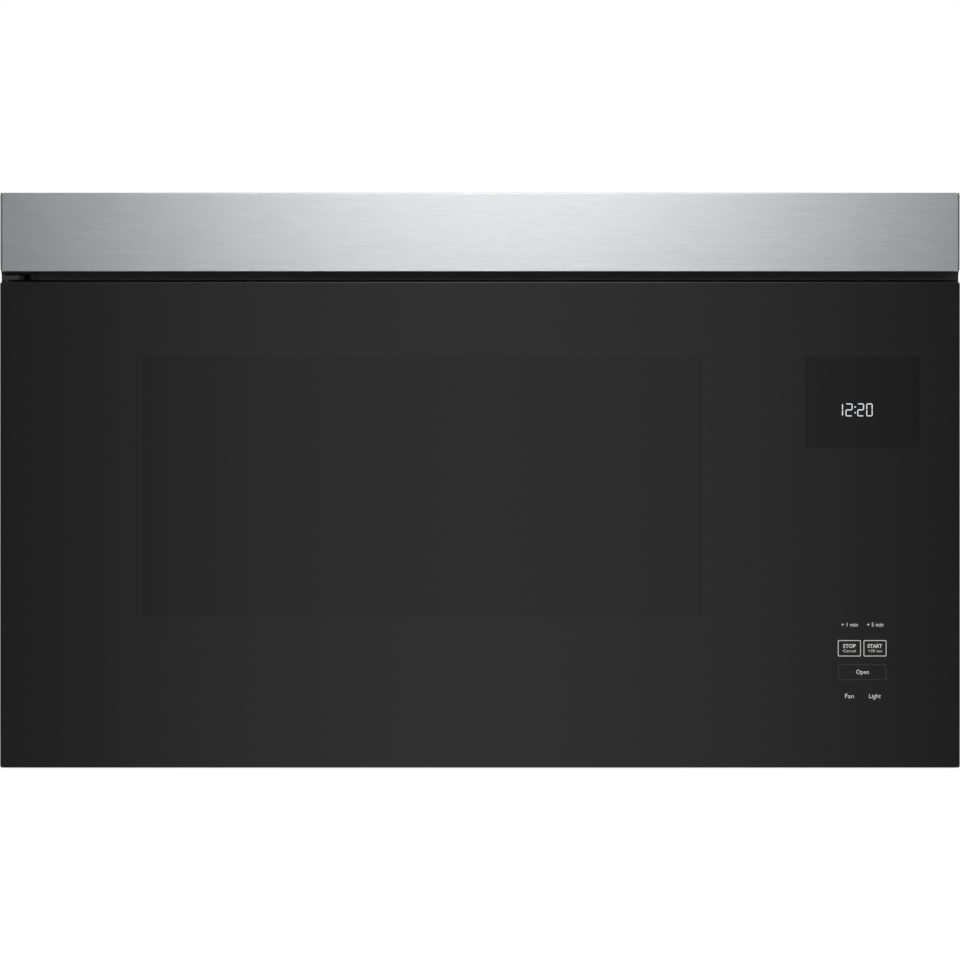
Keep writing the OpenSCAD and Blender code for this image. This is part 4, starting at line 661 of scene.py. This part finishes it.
white_parts = [
    word("+ 1 min", 841.2, 857.8, 624.2, 3.9, 0.008),
    word("+ 5 min", 866.9, 883.3, 624.2, 3.9, 0.008),
    word("STOP", 842.9, 855.7, 645.6, 3.7, 0.028),
    word("START", 867.5, 882.1, 645.6, 3.7, 0.028),
    word("Cancel", 842.9, 855.7, 650.4, 2.9),
    word("+30 sec", 868.0, 882.1, 650.4, 2.9),
    word("Open", 856.0, 868.8, 671.4, 4.3, 0.006),
    word("Fan", 845.0, 853.8, 695.5, 4.3, 0.006),
    word("Light", 869.0, 880.8, 695.5, 4.3, 0.006),
]
for left, right in ((837.8, 860.8), (863.5, 886.4)):
    white_parts.append(border(*photo_box(left, 639.8, right, 656.0), 0.75 * pixel, key_corner))
keys = piece("key_print", *gather(white_parts), "door", "white_ceramic_ink")
open_frame = border(*photo_box(837.8, 663.8, 886.6, 679.8), 0.9 * pixel, key_corner)
open_border = piece("open_key_border", *open_frame, "door", "grey_ceramic_ink")
print("key print has", len(keys.data.polygons), "faces")

# %% [markdown]
# ## The clock
# The clock stands in the display field and glows. It has seven bars a digit, with cut ends, and two dots.

# %% Seven-bar clock
tree, shader = finish_of("clock_segments", "#101010", 0.4)
shader.inputs["Emission Color"].default_value = linear("#f1f3f6")
shader.inputs["Emission Strength"].default_value = 0.85
bars = {"1": "bc", "2": "abged", "0": "abcdef"}
bar_width, bar_gap = 1.05 * pixel, 0.1 * pixel
dot_half = 0.7


def digit(figure, x0, x1, z0, z1, width, gap):
    """The lit bars of one figure. Each bar is a six-sided strip with cut ends, gap short of its neighbours."""
    zm = (z0 + z1) / 2
    h = width / 2
    left, right, foot, top = x0 + h, x1 - h, z0 + h, z1 - h
    ends = {
        "a": ((left, top), (right, top)), "g": ((left, zm), (right, zm)), "d": ((left, foot), (right, foot)),
        "f": ((left, zm), (left, top)), "b": ((right, zm), (right, top)),
        "e": ((left, foot), (left, zm)), "c": ((right, foot), (right, zm)),
    }
    made = []
    for bar in bars[figure]:
        a, b = (np.array(p) for p in ends[bar])
        along = (b - a) / np.linalg.norm(b - a)
        across = np.array([-along[1], along[0]]) * h
        a, b = a + along * gap, b - along * gap
        made.append(slab([a, a + along * h - across, b - along * h - across,
                          b, b - along * h + across, a + along * h + across]))
    return made


clock_parts = []
for figure, left, right in (("1", 833.2, 843.0), ("2", 845.4, 852.6), ("2", 857.2, 864.0), ("0", 866.2, 872.6)):
    clock_parts += digit(figure, *photo_box(left, 403.0, right, 416.0), bar_width, bar_gap)
for py in (406.6, 412.4):
    x0, x1, z0, z1 = photo_box(854.4, py - dot_half, 855.8, py + dot_half)
    clock_parts.append(slab([(x0, z0), (x1, z0), (x1, z1), (x0, z1)]))
clock = piece("clock_segments", *gather(clock_parts), "door", "clock_segments")
print("clock has", len(clock_parts), "bars and dots")

# %% [markdown]
# ## The window's screen
# Behind the glass sits a black steel sheet with a honeycomb of holes that lets light out and keeps the microwaves
# in. Real holes are round and near 1.5 mm; these are six-sided and 3.4 mm wide on a 5 mm pitch, so that they
# show. One hexagonal cell with its hole is worked out once, and its points are added to every place of the
# honeycomb at once.

# %% Perforated screen
screen_low, screen_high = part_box("window_screen")
pitch = 0.005
row_pitch = pitch * math.sqrt(3) / 2
hole = 0.0017
margin = 0.006
columns = int((screen_high.x - screen_low.x - 2 * margin) / pitch) - 1
lines_up = int((screen_high.z - screen_low.z - 2 * margin) / row_pitch) - 1
turn = np.arange(6) * math.pi / 3 + math.pi / 6
hexagon = np.stack([np.cos(turn), np.sin(turn)], axis=-1)
ring = np.concatenate([hexagon * pitch / math.sqrt(3), hexagon * hole])
u, v = np.meshgrid(np.arange(columns), np.arange(lines_up), indexing="ij")
middle_x, middle_z = (screen_low.x + screen_high.x) / 2, (screen_low.z + screen_high.z) / 2
centres = np.stack([
    middle_x + (u + 0.5 * (v % 2) - (columns - 0.5) / 2) * pitch,
    middle_z + (v - (lines_up - 1) / 2) * pitch * math.sqrt(3) / 2], axis=-1).reshape(-1, 1, 2)
flat = (centres + ring[None]).reshape(-1, 2)
n_cells = len(centres)
front_points = np.stack([flat[:, 0], np.full(len(flat), screen_low.y), flat[:, 1]], axis=-1)
back_points = front_points + (0, screen_high.y - screen_low.y, 0)
k = np.arange(6)
after = (k + 1) % 6
total = len(front_points)
one = np.concatenate([
    np.stack([k, after, after + 6, k + 6], axis=-1),
    np.stack([k + total, k + 6 + total, after + 6 + total, after + total], axis=-1),
    np.stack([k + 6, after + 6, after + 6 + total, k + 6 + total], axis=-1)])
screen_faces = (one[None] + (np.arange(n_cells) * 12)[:, None, None]).reshape(-1, 4)

# %% [markdown]
# A plain frame closes the screen's sides. It reaches in over the ragged outline of the honeycomb: half a pitch
# at the sides and 0.3 of one above and below.

# %% Frame of the screen
reach_x, reach_z = pitch * 0.5, pitch * 0.3
outside = (screen_low.x, screen_high.x, screen_low.z, screen_high.z)
inside = (flat[:, 0].min() + reach_x, flat[:, 0].max() - reach_x,
          flat[:, 1].min() + reach_z, flat[:, 1].max() - reach_z)
frame_rows = [np.array([(x0, y, z0), (x1, y, z0), (x1, y, z1), (x0, y, z1)]) for (x0, x1, z0, z1), y in (
    (outside, screen_low.y), (outside, screen_high.y), (inside, screen_high.y), (inside, screen_low.y))]
screen_points, screen_all = gather([
    (np.concatenate([front_points, back_points]), screen_faces.tolist()),
    loft(frame_rows, caps=False, closed=True)])
screen = piece("perforated_screen", screen_points, screen_all, "door", "black_oxide_steel")
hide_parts("window_screen")
print(n_cells, "holes,", len(screen_all) * 2, "triangles")

# %% [markdown]
# ## Screws with a cross recess
# The case wrap is held by twelve zinc-plated screws with low round heads, and the hinge brackets by four more.
# A head is one skin of rings: up its rim, over its dome, in to the outline of a cross and down into the recess.
# A cross is seen whole from its centre, so its edge is a radius for each angle, like the rim's circle.

# %% Screw heads
cross_width, cross_length = 0.13, 0.5


def cross_edge(turn, half_width, half_length):
    """Radius of a cross at each angle: the larger of two bars, each the smaller of length/|cos| and
    width/|sin|."""
    c, d = np.abs(np.cos(turn)) + 1e-9, np.abs(np.sin(turn)) + 1e-9
    return np.maximum(np.minimum(half_length / c, half_width / d), np.minimum(half_length / d, half_width / c))


def screw_head(centre, outward, radius, height):
    """Rings round an axis through centre. At radius r the dome is height * (1 - 0.45 * (r / radius) squared) high,
    and the recess goes down to a tenth of the height. The cross is given as shares of the head's radius."""
    corner = math.atan2(cross_width, cross_length)
    at_cross = [[k * math.pi / 2 + s * corner, k * math.pi / 2 + math.pi / 4] for k in range(4) for s in (-1, 1)]
    turn = np.unique(np.concatenate([np.linspace(0, 2 * math.pi, 40, endpoint=False)] + at_cross) % (2 * math.pi))
    cross = cross_edge(turn, cross_width * radius, cross_length * radius)
    full = np.full(len(turn), radius)

    def dome(r):
        return height * (1 - 0.45 * (r / radius) ** 2)
    rings = [(full, 0 * full), (full, dome(full) * 0.8)]
    rings += [(full * share, dome(full * share)) for share in (0.95, 0.75, 0.56)]
    rings += [(cross, dome(cross)), (cross * 0.92, dome(cross) * 0.25), (cross * 0.3, 0 * full + height * 0.1)]
    outward = np.asarray(outward, float)
    side = np.cross(outward, (0, 0, 1.0))
    up = np.array((0, 0, 1.0))
    return loft([np.asarray(centre) + outward * h[:, None]
                 + side * (r * np.cos(turn))[:, None] + up * (r * np.sin(turn))[:, None] for r, h in rings])


low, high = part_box("case_screws")
head, head_height = 0.0036, 0.0006
places = [((s * high.x, y, z), (s, 0, 0)) for s in (-1, 1) for y in (low.y + head, high.y - head)
          for z in (low.z + head, (low.z + high.z) / 2, high.z - head)]
case_parts = [screw_head(at, way, head, head_height) for at, way in places]
case_heads = piece("case_screw_heads", *gather(case_parts), "case", "bright_zinc_plate", smooth=35)
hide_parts("case_screws")

low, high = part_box("hinge_screws")
head, head_height = 0.0038, 0.001
foot, lower_in, lower_apart = low.z + head, 0.002, 0.022
places = [(low.x + head, high.z - head), (high.x - head, high.z - head),
          (low.x + head + lower_in, foot), (low.x + head + lower_in, foot + lower_apart)]
hinge_parts = [screw_head((x, low.y + head_height, z), (0, -1, 0), head, head_height) for x, z in places]
hinge_heads = piece("hinge_screw_heads", *gather(hinge_parts), "case", "bright_zinc_plate", smooth=35)
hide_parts("hinge_screws")
print("16 screw heads,", len(case_heads.data.polygons) + len(hinge_heads.data.polygons), "faces")

# %% [markdown]
# ## The latch spring
# The spring stands between the door and the latch bar: its top stays with the door while its foot goes down with
# the bar. Here it is built once, at rest, and rides on no body. Its wire runs round a helix of 13 turns, and the
# first and last turn lie flat, as ground ends do.

# %% Coil between door and latch
low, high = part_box("latch_spring")
axis_x, axis_y = (low.x + high.x) / 2, (low.y + high.y) / 2
wire, coil_r, turns, flat_turn = 0.0006, 0.0044, 13, 0.0013
u = np.linspace(0, turns, turns * 24 + 1)
foot, top = low.z + wire, high.z - wire
climb = np.interp(u, [0, 1, turns - 1, turns], [foot, foot + flat_turn, top - flat_turn, top])
turned = 2 * math.pi * u
outward = np.stack([np.cos(turned), np.sin(turned), 0 * u], axis=-1)
path = outward * coil_r + np.stack([axis_x + 0 * u, axis_y + 0 * u, climb], axis=-1)
heading = np.gradient(path, axis=0)
heading /= np.linalg.norm(heading, axis=1, keepdims=True)
aside = np.cross(heading, outward)
round_wire = (np.arange(8) * math.pi / 4)[None, :, None]
rows = path[:, None] + wire * (np.cos(round_wire) * outward[:, None] + np.sin(round_wire) * aside[:, None])
spring = piece("latch_coil", *loft(rows), None, "bright_zinc_plate", smooth=60)
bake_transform(spring)
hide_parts("latch_spring")
print("spring", turns, "turns,", round((high.z - low.z) * 1000, 1), "mm at rest")

# %% [markdown]
# ## Mesh in the grease filters
# A grease filter is a folded aluminium frame around layers of expanded metal: sheet that is slit and pulled open
# into rows of diamonds. The CAD part has the frame and its coarse lattice. The fine layer is added here as strands
# that zigzag across the frame, each a flat four-sided bar, and neighbouring strands mirror each other so that
# their bends meet.

# %% Expanded metal
filter_rim = 0.0085
diamond_x, diamond_y = 0.0044, 0.0066
strand_width, strand_thick = 0.0007, 0.0005


def expanded_metal(x0, x1, y0, y1, z, cell_x, cell_y, strand, thick):
    """Strand i runs along y at x0 + (i + 0.5) * cell_x and swings out by half a cell, less 0.3 of its width, to
    one side and the other at every half cell of its length. It tilts by half its thickness as it goes."""
    n = int((x1 - x0) / cell_x)
    m = int((y1 - y0) / cell_y) * 2 + 1
    cell_x, step = (x1 - x0) / n, (y1 - y0) / (m - 1)
    k = np.arange(m)
    section = [(a * strand / 2, b * thick / 2) for a, b in ((-1, -1), (1, -1), (1, 1), (-1, 1))]
    parts = []
    for i in range(n):
        swing = np.where((k + i) % 2 == 0, 1.0, -1.0) * (cell_x / 2 - strand * 0.3)
        x = x0 + (i + 0.5) * cell_x + swing
        y = y0 + k * step
        tilt = thick * 0.5 * np.where(k % 2 == 0, 1.0, -1.0)
        parts.append(loft(np.stack([np.stack([x + a, y, z + tilt + b], axis=-1) for a, b in section], axis=1)))
    return gather(parts)


for side, body in (("left", "left_filter"), ("right", "right_filter")):
    low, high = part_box("grease_filter_" + side)
    strands = expanded_metal(
        low.x + filter_rim, high.x - filter_rim, low.y + filter_rim, high.y - filter_rim, (low.z + high.z) / 2,
        diamond_x, diamond_y, strand_width, strand_thick)
    mesh_sheet = piece("expanded_metal_" + side, *strands, body, "anodised_aluminium")
print("each filter's mesh has", len(mesh_sheet.data.polygons), "faces")

# %% [markdown]
# ## The pressed back
# A large sheet of 1 mm steel drums, so three long beads are pressed 2.4 mm into the back plate. The sheet is a
# grid of points, close together at the beads: a point goes in by the press depth where its distance to a bead's
# middle line is under 4 mm, by nothing from 8 mm on, and by a smooth step between. Cells in the two hook slots
# are left out. Three flanges, each one sheet thick, reach forward from the plate's sides and top.

# %% Back plate with beads
plate = 0.001
bead_heights, bead_half = (0.128, 0.238, 0.348), 0.290
press, bead_floor, bead_wall = 0.0024, 0.004, 0.004
slot_x, slot_half = 0.230, 0.030
slot_z, slot_rise = 0.026, 0.004
flange, flange_foot, flange_short = 0.012, 0.0135, 0.0015


def pressed_sheet(xs, zs, depth, kept, y, thick):
    """Two skins over a grid, thick apart and pressed in by depth(x, z), walled round the cells not kept(x, z)."""
    gx, gz = np.meshgrid(xs, zs, indexing="ij")
    skin = np.stack([gx, y - depth(gx, gz), gz], axis=-1).reshape(-1, 3)
    n, up = len(skin), len(zs)
    cx, cz = np.meshgrid((xs[1:] + xs[:-1]) / 2, (zs[1:] + zs[:-1]) / 2, indexing="ij")
    full = np.pad(kept(cx, cz), 1)
    faces = []
    for i, j in zip(*np.nonzero(full[1:-1, 1:-1])):
        a, d = i * up + j, i * up + j + 1
        b, c = a + up, d + up
        faces += [[a, d, c, b], [a + n, b + n, c + n, d + n]]
        beside = (full[i, j + 1], full[i + 1, j + 2], full[i + 2, j + 1], full[i + 1, j])
        faces += [[q, p, p + n, q + n] for p, q, there in zip((a, d, c, b), (d, c, b, a), beside) if not there]
    used, place = np.unique(np.array(faces), return_inverse=True)
    return np.concatenate([skin, skin - (0, thick, 0)])[used], place.reshape(-1, 4).tolist()


def block(x0, x1, y0, y1, z0, z1):
    """A plain box between three pairs of limits."""
    return loft([[(x0, y0, z), (x1, y0, z), (x1, y1, z), (x0, y1, z)] for z in (z0, z1)])


def bead_depth(x, z):
    """Press * (1 - smooth step) of the distance to the nearest bead's middle line, bead_half each way of x = 0."""
    away = np.min([np.hypot(np.maximum(np.abs(x) - bead_half, 0), z - at) for at in bead_heights], axis=0)
    t = np.clip((away - bead_floor) / bead_wall, 0, 1)
    return press * (1 - t * t * (3 - 2 * t))


def off_slots(x, z):
    """True outside the two hook slots."""
    return (np.abs(np.abs(x) - slot_x) > slot_half) | (np.abs(z - slot_z) > slot_rise)


low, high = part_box("back_plate")
near_count, near_step = 12, 0.0008
near = np.arange(-near_count, near_count + 1) * near_step
xs = [s * (bead_half + v) for s in (-1, 1) for v in near[near_count:]]
xs += [s * slot_x + t * slot_half for s in (-1, 1) for t in (-1, 1)]
xs = np.unique(np.round(np.array(xs + [low.x, high.x, -0.1, 0.0, 0.1]), 6))
zs = [[low.z, high.z, slot_z - slot_rise, slot_z + slot_rise]] + [at + near for at in bead_heights]
zs = np.unique(np.round(np.concatenate(zs), 6))
side_flange = (low.y, low.y + flange, flange_foot, high.z - flange_short)
back = piece("pressed_back", *gather([
    pressed_sheet(xs, zs, bead_depth, off_slots, high.y, plate),
    block(low.x, low.x + plate, *side_flange),
    block(high.x - plate, high.x, *side_flange),
    block(low.x + 2 * plate, high.x - 2 * plate, low.y, low.y + flange, high.z - plate, high.z),
]), "case", "galvanised_sheet", smooth=35)
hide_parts("back_plate")
print("pressed back", len(xs), "x", len(zs), "points,", len(back.data.polygons), "faces")

# %% [markdown]
# ## The finishes go on
# Every CAD piece that is kept gets the finish of the thing it is. The list goes by material, so that one look at
# it says what the machine is made of.

# %% Finish of every carried-over piece
dressing = {
    "powder_painted_case": "case_wrap",
    "galvanised_sheet":
        "base_plate bay_partition outlet_duct blower_base left_blower_housing right_blower_housing waveguide",
    "dark_painted_front_frame": "front_frame",
    "cavity_enamel": "cavity_liner",
    "bright_zinc_plate": "blower_shaft capacitor_clamp cabinet_nuts release_lifter capacitor thermal_cutouts",
    "dipped_black_hinge_steel": "upper_hinge_bracket lower_hinge_bracket",
    "phosphated_steel": "choke_frame",
    "anodised_aluminium": "grease_filter_left grease_filter_right magnetron stirrer_antenna",
    "drawn_motor_can": "blower_motor stirrer_motor release_solenoid",
    "varnished_laminations": "transformer_core fan_motor",
    "enamelled_copper_wire": "transformer_windings",
    "grained_black_plastic": "door_frame choke_cover interlock_switches diode",
    "smooth_black_plastic": "strip_carrier",
    "dark_glass_filled_plastic": "fan_shroud cooling_fan left_blower_wheel right_blower_wheel",
    "natural_white_plastic": "hinge_bushes latch_lever latch_board air_guide cavity_lamp",
    "moulded_rubber": "cord_bushing",
    "glass_ceramic_plate": "ceramic_floor",
    "charcoal_granules": "charcoal_filter",
    "solder_masked_board": "power_board touch_board display_module",
    "frosted_lens": "lamp_lenses",
    "white_led_board": "lamp_boards",
    "clear_toughened_glass": "inner_glass",
}
dressed = set()
for finish, names in dressing.items():
    for name in names.split():
        nodes[name].data.materials.clear()
        nodes[name].data.materials.append(finishes[finish])
        dressed.add(name)
hidden = {name for name, made in nodes.items() if made.hide_render}
print("still bare:", sorted(set(nodes) - dressed - hidden))
